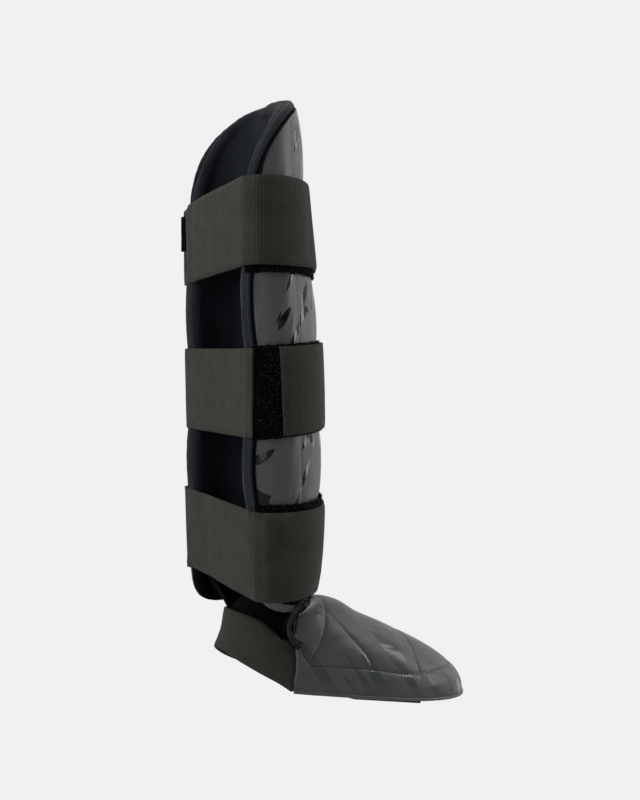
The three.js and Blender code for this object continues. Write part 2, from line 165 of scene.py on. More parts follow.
# %% [markdown]
# ## Soft boxes and the floor
# A studio lights an object with soft boxes, and Blender's area lamps are just that: the larger the lamp,
# the softer its shade. A wide one stands at the left and one hangs above, a slim one fills the right
# side, and two strips draw long lines along the gloss. A floor that is lit by them would show a shadow,
# and the photograph has none. So the floor glows by itself, pale to the camera and dimmer for the light
# that it throws up at the guard.

# %% Hang the soft boxes
def soft_box(name, place, aim, width, height, power):
    """A large area lamp at one point that faces another."""
    lamp = bpy.data.lights.new(name, "AREA")
    lamp.shape = "RECTANGLE"
    lamp.size = width
    lamp.size_y = height
    lamp.energy = power
    box = bpy.data.objects.new(name, lamp)
    box.location = Vector(place)
    box.rotation_euler = (Vector(aim) - box.location).to_track_quat("-Z", "Y").to_euler()
    scene.collection.objects.link(box)


# Name, where it stands and what it faces in metres, its width and height, and its power in watts.
SOFT_BOXES = (
    ("left_box", (-1.35, 0.05, 0.55), (0, 0, 0), 1.0, 1.6, 19),
    ("right_box", (1.4, -0.45, 0.45), (0, 0, -0.05), 0.3, 1.4, 9),
    ("top_box", (0.1, 0.1, 1.5), (0, 0, 0), 1.2, 1.2, 7),
    ("front_strip", (-0.3, -1.6, 0.35), (0, 0, 0), 0.1, 1.0, 2.0),
    ("rear_strip", (1.4, 0.3, 0.1), (0, 0, 0), 0.05, 1.6, 1.6),
)
for box in SOFT_BOXES:
    soft_box(*box)
print("lamps", [lamp.name for lamp in bpy.data.lights])

# %% Lay the floor
FLOOR_DROP, FLOOR_HALF = 1.0, 30.0
THROWN_UP = "#bebebe"
mesh = bmesh.new()
bmesh.ops.create_grid(mesh, x_segments=1, y_segments=1, size=FLOOR_HALF)
bmesh.ops.translate(mesh, verts=mesh.verts, vec=(0, 0, -FLOOR_DROP))
floor_data = bpy.data.meshes.new("floor")
mesh.to_mesh(floor_data)
mesh.free()
floor = bpy.data.objects.new("floor", floor_data)
scene.collection.objects.link(floor)
pale = bpy.data.materials.new("pale_studio_floor")
pale.use_nodes = True
ground = pale.node_tree
ground.nodes.clear()
glow = add(ground, "ShaderNodeEmission", Color=linear(PALE))
bounce = add(ground, "ShaderNodeEmission", Color=linear(THROWN_UP))
seen = add(ground, "ShaderNodeLightPath")
either = add(ground, "ShaderNodeMixShader", in_0=seen.outputs["Is Camera Ray"],
             in_1=bounce.outputs[0], in_2=glow.outputs[0])
add(ground, "ShaderNodeOutputMaterial", Surface=either.outputs[0])
floor_data.materials.append(pale)
print("floor at", -FLOOR_DROP, "m")

# %% [markdown]
# ## The coated skin
# Polyurethane-coated leatherette over foam: a dark grey satin coat with a fine pressed grain, and
# printed over it tapered strokes in gloss black. An image would need a drawing. Stretched noise with a
# sharp threshold gives strokes that taper by themselves, laid on the piece's own cut (a UV map in
# metres), so they follow the surface. Polyurethane has an IOR of about 1.5; the satin coat scatters
# its mirror image, so the specular level is half the usual one, and only the ink is smooth.

# %% Mix the coated skin
# Length and width of a stroke, and its lean on the cut.
STROKE, STROKE_LEAN = (38 * MM, 10 * MM), math.radians(52)
FOOT_STROKE, FOOT_LEAN = (75 * MM, 9 * MM), math.radians(-38)
CREASE, CREASE_LEAN = (90 * MM, 9 * MM), math.radians(80)
CREASE_DEEP = 1.6 * MM
# Size of the faint clouds in which the coat is lighter and darker, smoother and rougher.
CLOUD = 28 * MM
# The pressed grain is about 0.6 mm wide, which the picture can't show, so it is drawn coarser.
GRAIN, GRAIN_DEEP = 1.1 * MM, 0.12 * MM
# Over the first step of the noise a stroke goes from bare to full ink; the second lifts it over the grain.
INK_EDGE, INK_STEP = 0.02, 1.2
# Where the print starts on the cut decides how the strokes fall between the straps.
PRINT_START = (0.23, 0.15, 0.0)


def coated_skin(name, lean, stroke=STROKE, ink_colour="#08090a", bare=0.6, gloss=0.13):
    """Satin leatherette with strokes at that lean; the higher bare is, the more stays without them."""
    made = bpy.data.materials.new(name)
    made.use_nodes = True
    tree = made.node_tree
    coat = tree.nodes["Principled BSDF"]
    cut = add(tree, "ShaderNodeUVMap", uv_map="cut")
    turned = add(tree, "ShaderNodeMapping", vector_type="TEXTURE", Vector=cut.outputs["UV"],
                 Location=PRINT_START, Rotation=(0, 0, lean), Scale=(*stroke, 1))
    strokes = add(tree, "ShaderNodeTexNoise", Vector=turned.outputs["Vector"], Scale=1.0, Detail=0.0,
                  Distortion=0.2)
    ink = add(tree, "ShaderNodeMapRange", interpolation_type="SMOOTHSTEP", Value=strokes.outputs["Fac"],
              From_Min=bare, From_Max=bare + INK_EDGE, To_Min=0.0, To_Max=1.0)
    cloudy = add(tree, "ShaderNodeTexNoise", Vector=cut.outputs["UV"], Scale=1 / CLOUD, Detail=3.0)
    satin = add(tree, "ShaderNodeMix", data_type="RGBA", Factor=cloudy.outputs["Fac"],
                in_6=linear("#434648"), in_7=linear("#525556"))
    colour = add(tree, "ShaderNodeMix", data_type="RGBA", Factor=ink.outputs["Result"],
                 in_6=satin.outputs[2], in_7=linear(ink_colour))
    smear = add(tree, "ShaderNodeMapRange", Value=cloudy.outputs["Fac"], From_Min=0.3, From_Max=0.7,
                To_Min=0.34, To_Max=0.46)
    rough = add(tree, "ShaderNodeMix", Factor=ink.outputs["Result"], in_2=smear.outputs["Result"],
                in_3=gloss)
    grain = add(tree, "ShaderNodeTexVoronoi", feature="SMOOTH_F1", Vector=cut.outputs["UV"],
                Scale=1 / GRAIN)
    print_step = add(tree, "ShaderNodeMath", operation="MULTIPLY_ADD", in_0=ink.outputs["Result"],
                     in_1=INK_STEP, in_2=grain.outputs["Distance"])
    drawn = add(tree, "ShaderNodeMapping", vector_type="TEXTURE", Vector=cut.outputs["UV"],
                Rotation=(0, 0, CREASE_LEAN), Scale=(*CREASE, 1))
    creases = add(tree, "ShaderNodeTexNoise", Vector=drawn.outputs["Vector"], Scale=1.0, Detail=2.0,
                  Roughness=0.4, Distortion=0.6)
    waved = add(tree, "ShaderNodeBump", Strength=0.5, Distance=CREASE_DEEP, Height=creases.outputs["Fac"])
    bump = add(tree, "ShaderNodeBump", Strength=0.25, Distance=GRAIN_DEEP, Height=print_step.outputs[0],
               Normal=waved.outputs["Normal"])
    tree.links.new(colour.outputs[2], coat.inputs["Base Color"])
    tree.links.new(rough.outputs[0], coat.inputs["Roughness"])
    tree.links.new(bump.outputs["Normal"], coat.inputs["Normal"])
    coat.inputs["IOR"].default_value = 1.5
    coat.inputs["Specular IOR Level"].default_value = 0.25
    return made


# Noise lies between 0 and 1, so a bare above that leaves no stroke, and one below it inks all of the strip.
NO_INK, ALL_INK = 2.0, -1.0
# Screen-printed leatherette of the shin: black ink mirrors the room between satin that only glows.
skin_shin = coated_skin("coated_skin_printed_shin", STROKE_LEAN)
# On the foot the ink is a duller charcoal, so its strokes show mostly where they catch the light.
skin_foot = coated_skin("coated_skin_printed_foot", FOOT_LEAN, FOOT_STROKE, "#45484a", 0.58, 0.22)
# Unprinted leatherette of the hems, and the dark strip of it that is gathered at the ankle.
skin_bare = coated_skin("coated_skin_bare", 0.0, bare=NO_INK)
skin_gathered = coated_skin("coated_skin_gathered", 0.0, ink_colour="#1d1f20", bare=ALL_INK)
print("strokes about", [round(side / MM) for side in STROKE], "mm, grain", GRAIN / MM, "mm")

# %% [markdown]
# ## Cloth, elastic, pile and thread
# The straps are woven elastic: rubber under polyester yarn, drawn into fine ribs across the strap. The
# lining and binding are a brushed navy knit. The loop tape is black nylon pile, and all the sewing is
# dark polyester thread. Each one is a Principled shader with a weave from a Wave or Voronoi texture,
# whose colour is painted darker in the weave's hollows as shade; woven yarn is far rougher than the skin
# and has sheen from its loose fibre ends. Polyester and nylon fibre have an IOR near 1.46 after the air
# between the yarns is counted in.

# %% Weave the fabrics
# The real ribs are about 1.2 mm apart and the yarns 0.5 mm, too fine for one picture, so both are coarser.
RIB = 2.3 * MM
YARN = 1.4 * MM
KNIT = 1.3 * MM
WORN = 16 * MM
# A Wave texture shows a new band each time its coordinate grows by this much over its scale.
WAVE = math.pi / 10


def fabric(name, dark, light, rough, sheen, across, along, depth, shine=0.2):
    """A woven or knitted cloth with yarns at these spacings in the two directions of its cut."""
    made = bpy.data.materials.new(name)
    made.use_nodes = True
    tree = made.node_tree
    cloth = tree.nodes["Principled BSDF"]
    cut = add(tree, "ShaderNodeUVMap", uv_map="cut")
    worn = add(tree, "ShaderNodeTexNoise", Vector=cut.outputs["UV"], Scale=1 / WORN, Detail=6.0,
               Roughness=0.65)
    warp = add(tree, "ShaderNodeTexWave", bands_direction="X", Vector=cut.outputs["UV"],
               Scale=WAVE / across, Distortion=0.6, Detail=1.0)
    weft = add(tree, "ShaderNodeTexWave", bands_direction="Y", Vector=cut.outputs["UV"],
               Scale=WAVE / along, Distortion=0.8, Detail=1.0)
    weave = add(tree, "ShaderNodeMath", operation="MULTIPLY_ADD", in_0=weft.outputs["Fac"], in_1=0.35,
                in_2=warp.outputs["Fac"])
    # The colour follows the weave: darker in its hollows as painted shade, with a random tone on top.
    shade = add(tree, "ShaderNodeMath", operation="MULTIPLY_ADD", in_0=weave.outputs[0], in_1=0.3,
                in_2=worn.outputs["Fac"])
    tone = add(tree, "ShaderNodeMapRange", Value=shade.outputs[0], From_Min=0.35, From_Max=1.1)
    colour = add(tree, "ShaderNodeMix", data_type="RGBA", Factor=tone.outputs["Result"],
                 in_6=linear(dark), in_7=linear(light))
    bump = add(tree, "ShaderNodeBump", Strength=0.6, Distance=depth, Height=weave.outputs[0])
    tree.links.new(colour.outputs[2], cloth.inputs["Base Color"])
    tree.links.new(bump.outputs["Normal"], cloth.inputs["Normal"])
    cloth.inputs["Roughness"].default_value = rough
    cloth.inputs["Sheen Weight"].default_value = sheen
    cloth.inputs["Sheen Roughness"].default_value = 0.45
    cloth.inputs["IOR"].default_value = 1.46
    cloth.inputs["Specular IOR Level"].default_value = shine
    return made


# Dark and light colour, the dark one painted into the weave's hollows as shade, roughness, sheen,
# yarn spacing across and along, and depth of the relief.
# Woven elastic: matt yarn over rubber, in ribs that shade one another to a warm charcoal.
elastic = fabric("woven_elastic", "#262722", "#3a3b35", 0.86, 0.05, RIB, YARN, 0.25 * MM)
# Brushed polyester knit: raised fibres blur the light to a soft blue-black.
lining_knit = fabric("brushed_navy_knit", "#0e1116", "#1b2028", 0.92, 0.1, KNIT, KNIT, 0.2 * MM)
# Binding cloth: the same yarn in a closer knit, lighter and smoother to the eye.
binding_knit = fabric("navy_binding_cloth", "#111418", "#22272d", 0.88, 0.12, KNIT, KNIT, 0.15 * MM)
# Nylon loop pile: light is lost between the loops, so it is the blackest of all.
pile = fabric("black_loop_pile", "#020203", "#0b0c0c", 0.97, 0.0, 0.8 * MM, 0.7 * MM, 0.5 * MM, shine=0.05)
# Polyester thread: twisted filament with a faint gloss.
thread = fabric("polyester_thread", "#0b0d10", "#1a1d22", 0.65, 0.0, 0.4 * MM, 0.4 * MM, 0.05 * MM)
# Black knit of the ankle and the hem's inside, flat and dull; its near-black is partly painted shade of
# those deep hollows.
black_knit_painted_shade = fabric("black_knit_painted_shade", "#040506", "#0c0d0f", 0.95, 0.0, KNIT, KNIT, 0.2 * MM, shine=0.05)
# Worn loops of the pile: torn and stretched, they scatter white light as sheen.
loose_loops = fabric("worn_nylon_loops", "#141716", "#2c3130", 0.8, 0.3, KNIT, KNIT, 0.05 * MM)
print("ribs every", RIB / MM, "mm, knit", KNIT / MM, "mm")

# %% [markdown]
# ## Reading the solids
# A soft piece has to lie just where its solid lies, but on finer and more even faces. A Shrinkwrap
# modifier would do on a closed ball; on a wall with an inside and an outside it picks the wrong face.
# So each point of a plain grid is sent along a ray: out from the leg's axis for an inner face, in from
# far away for an outer one. BVHTree answers in microseconds.

# %% Helpers that ask a solid where it is
FAR = 0.4


def tree_of(*nodes):
    """A search tree over copies of these solids."""
    mesh = bmesh.new()
    for node in nodes:
        mesh.from_mesh(frame["nodes"][node].data)
    found = BVHTree.FromBMesh(mesh)
    mesh.free()
    return found


def toward(angle, hand=1):
    """A level direction at an angle from the toes, turning to the wearer's left where hand is 1."""
    return Vector((math.cos(angle), hand * math.sin(angle), 0))


def outer_face(tree, root, direction, square=-1.0):
    """Where a ray from far away first meets the solid, if that face looks back at it squarely enough."""
    place, normal, face, length = tree.ray_cast(root + direction * FAR, -direction, FAR)
    return place if place is not None and normal.dot(direction) > square else None


def inner_face(tree, root, direction):
    """Where a ray from the leg's axis first meets the solid."""
    return tree.ray_cast(root, direction, FAR)[0]


def reach(meets, middle, low, high, step):
    """How far from middle down to low and up to high a test holds, to a few hundredths of a step."""
    ends = []
    for limit in (low, high):
        pace = math.copysign(step, limit - middle)
        good = middle
        while abs(good + pace - middle) <= abs(limit - middle) and meets(good + pace):
            good += pace
        for halving in range(7):
            pace /= 2
            if meets(good + pace):
                good += pace
        ends.append(good)
    return ends


print("a ray meets the front of the shell at",
      round(outer_face(tree_of("shin_pad"), Vector((0, 0, 0)), toward(0)).x / MM, 1), "mm")

# %% [markdown]
# ## From a grid to a piece
# Every soft piece here starts as one flat bmesh grid, as cloth starts as a flat cut. It could be pinned
# and draped over the solids; most of these pieces are sewn down or pulled tight, so each point is simply
# put where the solid is. The flat grid's own width and length stay in a UV map named cut, so a weave
# keeps its real scale. Thickness is a live Solidify that grows inwards from the outer face.

# %% Helpers that turn a grid into a piece
def grid(columns, rows, place, width, length):
    """A plain grid whose points go where place(across, along) says, with its cut in metres as UV."""
    mesh = bmesh.new()
    bmesh.ops.create_grid(mesh, x_segments=columns, y_segments=rows, size=0.5)
    cut = mesh.loops.layers.uv.new("cut")
    for face in mesh.faces:
        for corner in face.loops:
            corner[cut].uv = ((corner.vert.co.x + 0.5) * width, (corner.vert.co.y + 0.5) * length)
    for point in mesh.verts:
        point.co = place(point.co.x + 0.5, point.co.y + 0.5)
    return mesh


def finish_piece(mesh, name, material, stands_for=()):
    """The bmesh becomes a smooth object that rides with the guard."""
    data = bpy.data.meshes.new(name)
    mesh.to_mesh(data)
    mesh.free()
    data.materials.append(material)
    data.shade_smooth()
    piece = bpy.data.objects.new(name, data)
    scene.collection.objects.link(piece)
    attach(piece, "root")
    if stands_for:
        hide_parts(*stands_for)
    return piece


def even_out(mesh, times):
    """Smooths the inner points of an open grid and leaves its rim where it is."""
    inner = [point for point in mesh.verts if not point.is_boundary]
    for step in range(times):
        bmesh.ops.smooth_vert(mesh, verts=inner, factor=0.5,
                              use_axis_x=True, use_axis_y=True, use_axis_z=True)


def away(face):
    """The level direction from the leg's axis to a face."""
    return Vector((*face.calc_center_median().xy, 0))


def turn_faces(mesh, looks):
    """Turns the faces of an open grid round if most of them don't look where looks(face) points."""
    mesh.normal_update()
    if sum(face.normal.dot(looks(face)) for face in mesh.faces) < 0:
        bmesh.ops.reverse_faces(mesh, faces=mesh.faces)
    mesh.normal_update()


def close_tube(mesh, gap):
    """Joins the long sides of a grid that is rolled to a tube, and fills its two ends."""
    bmesh.ops.remove_doubles(mesh, verts=mesh.verts, dist=gap)
    bmesh.ops.holes_fill(mesh, edges=[edge for edge in mesh.edges if edge.is_boundary], sides=0)
    bmesh.ops.recalc_face_normals(mesh, faces=mesh.faces)


def thicken(piece, thickness):
    """A live Solidify that grows against the normals, so the outer face stays."""
    wall = piece.modifiers.new("thickness", "SOLIDIFY")
    wall.thickness = thickness
    wall.offset = -1
    wall.use_even_offset = False


def soften(points, spread):
    """Evens out a row of points along its first axis with a bell of that many samples."""
    half = int(spread * 3)
    if half < 1:
        return points
    bell = np.exp(-0.5 * (np.arange(-half, half + 1) / spread) ** 2)
    bell /= bell.sum()
    before = 2 * points[:1] - points[half:0:-1]
    after = 2 * points[-1:] - points[-2:-half - 2:-1]
    long = np.concatenate([before, points, after])
    return sum(weight * long[shift:shift + len(points)] for shift, weight in enumerate(bell))


def run_along(path):
    """How far along a path each of its points is."""
    steps = np.linalg.norm(np.diff(np.array(path), axis=0), axis=1)
    return np.concatenate([[0], np.cumsum(steps)])


lone_peak = np.array([0.0, 0, 0, 1, 0, 0, 0])
print("softened, a lone peak becomes", [round(value, 2) for value in soften(lone_peak, 1)])

# %% [markdown]
# ## The shape of the shell
# The shell is a C round the leg's axis. Its open edges lie at one angle that changes a little with the
# height, and its top and bottom rims curve. Both are found with rays: the edge angle at a dozen heights,
# then the lowest and highest ray that meets each column. After that any point of the shell has two plain
# coordinates: across, from -1 at the wearer's right edge to 1 at the left, and up, from 0 to 1.

# %% Measure the shell
pad_tree = tree_of("shin_pad")
lining_tree = tree_of("shin_lining")
# A ray that meets a face more slantingly than this has slipped over the rounded edge.
SQUARE = 0.6
heights = np.linspace(-90, 110, 11) * MM
edges = []
for height in heights:
    root = Vector((0, 0, height))
    edges.append(reach(lambda angle: outer_face(pad_tree, root, toward(angle), SQUARE) is not None,
                       math.radians(60), 0, math.radians(150), math.radians(2))[1])
edge_line = np.polyfit(heights, edges, 2)


def shell_ray(across, height):
    """The level ray at that share of the way to an open edge."""
    return Vector((0, 0, height)), toward(across * np.polyval(edge_line, height))


def shell_meets(across, height):
    """Whether the shell is there at all."""
    root, direction = shell_ray(across, height)
    return outer_face(pad_tree, root, direction, SQUARE) is not None


pad_low, pad_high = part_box("shin_pad")
# Measured this little inside the open edges, at stations that crowd towards them.
JUST_INSIDE = 0.9985
stations = np.sin(np.linspace(-90, 90, 121) * math.pi / 180)
limits = [reach(lambda height: shell_meets(JUST_INSIDE * share, height), 0.0,
                pad_low.z - MM, pad_high.z + MM, 3 * MM) for share in stations]
rim_low, rim_high = np.array(limits).T
rims = (rim_low.min(), rim_low.max(), rim_high.min(), rim_high.max())
print("edge angles", [round(math.degrees(angle), 1) for angle in edges],
      "rims between", [round(value / MM, 1) for value in rims], "mm")

# %% Find a point of the shell
# Between two straps the foam at the open edges swells back, and the wearer's left corner hangs out below
# the last one: from height, to height, how far back and down in millimetres, and the first side it acts on.
SWOLLEN = ((26, 112, 4.4, 0, -1), (-88, -8, 6.4, 0, -1), (-215, -96, 6.0, 4.0, 0))
SWELL_FROM = 0.6
# The top rim is stretched up in its middle, and more at the wearer's left.
TOP_LIFT, TOP_WIDE = 4.5 * MM, 0.45
LEFT_LIFT = 9.5 * MM
LIFT_FROM = 0.8
# A ray that slips past the edge is tried again a little further in, and last the nearest point is taken.
EASES = (1.0, JUST_INSIDE, 0.995, 0.99, 0.98, 0.97)
SHELL_RADIUS = 60 * MM
# The rims themselves are rounded, so up stays this share of the height inside them.
RIM_MARGIN = 0.001


def edge_swell(across, height):
    """How a point near an open edge moves back along the shell."""
    for low, high, back, down, first_side in SWOLLEN:
        share = (height / MM - low) / (high - low)
        if 0 < share < 1 and across >= first_side:
            angle = across * np.polyval(edge_line, height)
            way = Vector((-math.sin(angle), math.cos(angle), 0)) * math.copysign(back, across)
            way -= Vector((0, 0, down))
            near_edge = max(0.0, (abs(across) - SWELL_FROM) / (1 - SWELL_FROM)) ** 2
            return way * MM * math.sin(math.pi * share) ** 0.7 * near_edge
    return Vector((0, 0, 0))


def shell_point(across, up, face=outer_face, tree=pad_tree):
    """A point of the shell's outer or inner face."""
    bottom = np.interp(across, stations, rim_low)
    top = np.interp(across, stations, rim_high)
    height = bottom + (top - bottom) * (RIM_MARGIN + (1 - 2 * RIM_MARGIN) * up)
    for ease in EASES:
        root, direction = shell_ray(across * ease, height)
        found = face(tree, root, direction)
        if found is not None:
            lift = TOP_LIFT * math.exp(-(across / TOP_WIDE) ** 2)
            lift += LEFT_LIFT * math.sin(math.pi * max(0.0, across) ** 3)
            lift *= max(0.0, (up - LIFT_FROM) / (1 - LIFT_FROM)) ** 2
            return found + edge_swell(across, height) + Vector((0, 0, lift))
    return tree.find_nearest(root + direction * SHELL_RADIUS)[0]


print("middle of the front at", [round(value / MM, 1) for value in shell_point(0.0, 0.5)], "mm")

# %% [markdown]
# ## The shin pad
# Foam with the coated skin drawn over it. It swells a little wherever no strap and no loop tape holds it
# down, and it is pulled in along two seams, one near each open edge. Modelling the swell by hand looks
# stiff. Here a grid on the solid's outer face goes through Blender's Cloth with inner pressure: held at
# the rim, the seams and under the loop tape, free between.

# %% Lay the skin on the shell
ACROSS, UP = 44, 66
SEAM_FROM_EDGE = 39 * MM
# At the very top the skin rises in front of the binding.
SKIN_PEAK, PEAK_WIDE, PEAK_FROM = 5 * MM, 28 * MM, 0.9
GIRTH_UP = 0.45
shares = np.linspace(-1, 1, 201)
girth = [shell_point(share, GIRTH_UP) for share in shares]
runs = run_along(girth)
seam_across = float(np.interp(runs[-1] - SEAM_FROM_EDGE, runs, shares))
seam_column = round((seam_across + 1) / 2 * ACROSS)


def skin_place(share, up):
    """Columns keep their order, and one column runs exactly along each seam."""
    side = 2 * share - 1
    even = abs(side) * ACROSS / 2
    mark = seam_column - ACROSS / 2
    if even <= mark:
        across = seam_across * even / mark
    else:
        across = seam_across + (1 - seam_across) * (even - mark) / (ACROSS / 2 - mark)
    point = shell_point(math.copysign(across, side), up)
    rise = max(0.0, (up - PEAK_FROM) / (1 - PEAK_FROM)) ** 2
    point.z += SKIN_PEAK * rise * math.exp(-(point.y / PEAK_WIDE) ** 2)
    return point


mesh = grid(ACROSS, UP, skin_place, runs[-1], pad_high.z - pad_low.z)
even_out(mesh, 3)
shin = finish_piece(mesh, "shin_pad_skin", skin_shin, ["shin_pad"])
print("skin is", round(runs[-1] / MM), "mm round, seam column", seam_column, "of", ACROSS)

# %% [markdown]
# ## Foam that swells
# Foam pushes the skin out wherever nothing holds it. Cloth has just this: with use_pressure it blows a
# mesh up like a cushion, and points of the vertex group named in vertex_group_mass stay where they are.
# Gravity is off, because foam bears its own weight, and so are collisions, because the skin only moves
# outwards. Twenty steps are enough to come to rest, and the result is copied into the mesh, so nothing
# has to be simulated again.

# %% Swell the skin with cloth pressure
# Springs a few millimetres long are stiff, so the pressure is far above the usual 4 of a large cushion.
SWELL_PRESSURE, SWELL_STEPS = 700.0, 20
SKIN_MASS, SKIN_STIFF, SKIN_BEND = 0.002, 5, 0.1
SHIN_SWELL = 3 * MM
UNDER_TAPE = 10 * MM


def swell(piece, held, pressure, most):
    """Runs Cloth with inner pressure and keeps each point within most of where it was."""
    rest = [point.co.copy() for point in piece.data.vertices]
    piece.vertex_groups.new(name="held").add(held, 1.0, "ADD")
    cloth = piece.modifiers.new("swell", "CLOTH")
    cloth.settings.vertex_group_mass = "held"
    cloth.settings.use_pressure = True
    cloth.settings.uniform_pressure_force = pressure
    cloth.settings.effector_weights.gravity = 0
    cloth.settings.mass = SKIN_MASS
    cloth.settings.tension_stiffness = SKIN_STIFF
    cloth.settings.compression_stiffness = SKIN_STIFF
    cloth.settings.bending_stiffness = SKIN_BEND
    cloth.collision_settings.use_collision = False
    for moment in range(1, SWELL_STEPS + 1):
        scene.frame_set(moment)
    now = piece.evaluated_get(bpy.context.evaluated_depsgraph_get()).data.vertices
    moves = [after.co - before for after, before in zip(now, rest)]
    piece.modifiers.remove(cloth)
    for point, before, move in zip(piece.data.vertices, rest, moves):
        point.co = before + move * min(1.0, most / max(move.length, 1e-9))
    scene.frame_set(1)
    piece.data.update()
    return max(move.length for move in moves)


band_tree = tree_of("loop_band_top", "loop_band_middle", "loop_band_bottom")
held = []
for point in shin.data.vertices:
    flat = Vector((point.co.x, point.co.y, 0)).normalized()
    column, row = point.index % (ACROSS + 1), point.index // (ACROSS + 1)
    rim = column in (0, ACROSS) or row in (0, UP)
    seam = column in (seam_column, ACROSS - seam_column)
    if rim or seam or band_tree.ray_cast(point.co - flat * MM, flat, UNDER_TAPE)[0] is not None:
        held.append(point.index)
print("skin swells by up to", round(swell(shin, held, SWELL_PRESSURE, SHIN_SWELL) / MM, 2), "mm")
print("held points", len(held), "of", len(shin.data.vertices))

# %% [markdown]
# ## Seams in the skin
# A sewn seam pulls the foam in to a narrow valley, deeper at each stitch. That could be painted as bump,
# but a bump leaves the outline straight and is lost on the exported mesh. So the skin is subdivided until
# a valley has several points across it, and every point near the seam is pushed in by a bell curve of its
# distance, which a KD tree finds quickly. At the rim the wall runs out thin: a vertex group on the
# Solidify scales its thickness point by point.

# %% Helpers that refine and press a skin
from mathutils.kdtree import KDTree

STITCH_PITCH = 3.4 * MM
# A valley fades in over this length at its ends, and its bell curve is nothing beyond so many widths.
SEAM_FADE, BELL_REACH = 6 * MM, 2.6


def near_tree(spots):
    """A search tree that answers with the nearest spot, its number and how far it is."""
    tree = KDTree(len(spots))
    for number, spot in enumerate(spots):
        tree.insert(spot, number)
    tree.balance()
    return tree


def finer(piece, levels):
    """Subdivides a piece for good, as an applied Subdivision Surface."""
    smooth = piece.modifiers.new("finer", "SUBSURF")
    smooth.levels = levels
    smooth.render_levels = levels
    made = bpy.data.meshes.new_from_object(piece.evaluated_get(bpy.context.evaluated_depsgraph_get()))
    piece.modifiers.clear()
    piece.data = made
    return made


def press(piece, path, depth, width, pucker=0.3):
    """Pulls a skin in along a sewn path, a little more at each stitch than between two."""
    tree = near_tree(path)
    run = run_along(path)
    moves = []
    for point in piece.data.vertices:
        near, number, gap = tree.find(point.co)
        if gap < BELL_REACH * width:
            wave = 1 + pucker * math.cos(2 * math.pi * run[number] / STITCH_PITCH)
            fade = min(1.0, run[number] / SEAM_FADE, (run[-1] - run[number]) / SEAM_FADE + 0.3)
            moves.append((point.index, point.normal * depth * wave * fade * math.exp(-(gap / width) ** 2)))
    for index, move in moves:
        piece.data.vertices[index].co -= move
    piece.data.update()
    return run[-1]


def surface_tree(piece):
    """A search tree over a finished piece."""
    return BVHTree.FromObject(piece, bpy.context.evaluated_depsgraph_get())


def open_edge(piece):
    """The numbers of the points on a piece's open edge."""
    mesh = bmesh.new()
    mesh.from_mesh(piece.data)
    found = [number for number, point in enumerate(mesh.verts) if point.is_boundary]
    mesh.free()
    return found


def thin_out(piece, share_of):
    """Makes a thickened piece thinner where share_of(place) is below 1."""
    wall = piece.vertex_groups.new(name="wall")
    for point in piece.data.vertices:
        wall.add([point.index], share_of(point.co), "REPLACE")
    piece.modifiers["thickness"].vertex_group = wall.name


print("a stitch every", STITCH_PITCH / MM, "mm")

# %% Pull the shin's seams in and give it foam
SKIN_LEVELS = 2
SEAM_DEEP, SEAM_WIDE = 0.35 * MM, 1.3 * MM
SEAM_UPS = np.linspace(0.004, 0.996, 700)
finer(shin, SKIN_LEVELS)
shin_seams = []
skin_tree = surface_tree(shin)
for side in (-1, 1):
    line = [shell_point(side * seam_across, up) for up in SEAM_UPS]
    shin_seams.append([skin_tree.find_nearest(point)[0] for point in line])
for line in shin_seams:
    print("seam pulled in over", round(press(shin, line, SEAM_DEEP, SEAM_WIDE) / MM), "mm")
# The foam runs out to a thin edge, which the binding will wrap.
FOAM, EDGE_SHARE, EDGE_RUN = 9 * MM, 0.06, 20 * MM
thicken(shin, FOAM)
shin_edge = near_tree([shin.data.vertices[number].co for number in open_edge(shin)])


def foam_share(place):
    """The share of the full foam at a place, by its distance from the rim."""
    return min(1.0, max(EDGE_SHARE, shin_edge.find(place)[2] / EDGE_RUN - EDGE_SHARE))


thin_out(shin, foam_share)

# %% [markdown]
# ## Stitches
# Each stitch is a short grain of thread that dips into the skin at both ends. A curve with a bevel would
# make one long worm; separate grains catch the light as sewing does. An icosahedron stretched to a grain
# has only twenty faces, so hundreds of them stay light. All stitches of one line are one mesh.

# %% A helper that sews
def along(path, pitch):
    """Points and directions spaced evenly along a path."""
    run = run_along(path)
    flat = np.array(path)
    marks = np.arange(pitch, run[-1] - pitch / 2, pitch)
    here = np.stack([np.interp(marks, run, flat[:, axis]) for axis in range(3)], 1)
    ahead = np.stack([np.interp(marks + pitch / 4, run, flat[:, axis]) for axis in range(3)], 1)
    return [(Vector(a), (Vector(b) - Vector(a)).normalized()) for a, b in zip(here, ahead)]


def sew(name, paths, carrier, pitch=STITCH_PITCH, length=3.0 * MM, thick=0.6 * MM, sink=0.0):
    """Rows of stitches along paths, seated on the carrier's surface."""
    tree = surface_tree(carrier)
    mesh = bmesh.new()
    mesh.loops.layers.uv.new("cut")
    for path in paths:
        for point, way in along(path, pitch):
            place, normal, face, gap = tree.find_nearest(point)
            way = (way - normal * way.dot(normal)).normalized()
            turn = Matrix((way, normal.cross(way), normal)).transposed().to_4x4()
            size = Matrix.Diagonal((length / 2, thick / 2, thick / 2, 1))
            bmesh.ops.create_icosphere(mesh, subdivisions=1, radius=1.0,
                                       matrix=Matrix.Translation(place - normal * sink) @ turn @ size)
    print(name, "has", len(mesh.faces) // 20, "stitches")
    finish_piece(mesh, name, thread)


sew("shin_seam_stitches", shin_seams, shin)

# %% [markdown]
# ## The lining
# A brushed knit lines the shell. It isn't glued everywhere, so it hangs in soft upright folds. A second
# Cloth run could drape it, but in a wall this shallow the folds are a millimetre or two, and a grid on
# the solid's inner face, pushed in by stretched noise, shows the same with no risk of a tear.

# %% Hang the lining
FOLD = 1.8 * MM
LINING_GRID = (120, 130)
LINING_ROUND = 190 * MM
LINING_THICK = 1.2 * MM
# How often wide and narrow folds come, across and up; below the bias the cloth lies flat on the foam.
WIDE_FOLDS, NARROW_FOLDS, FOLD_BIAS = (6.5, 1.6), (15, 3.2), 0.25
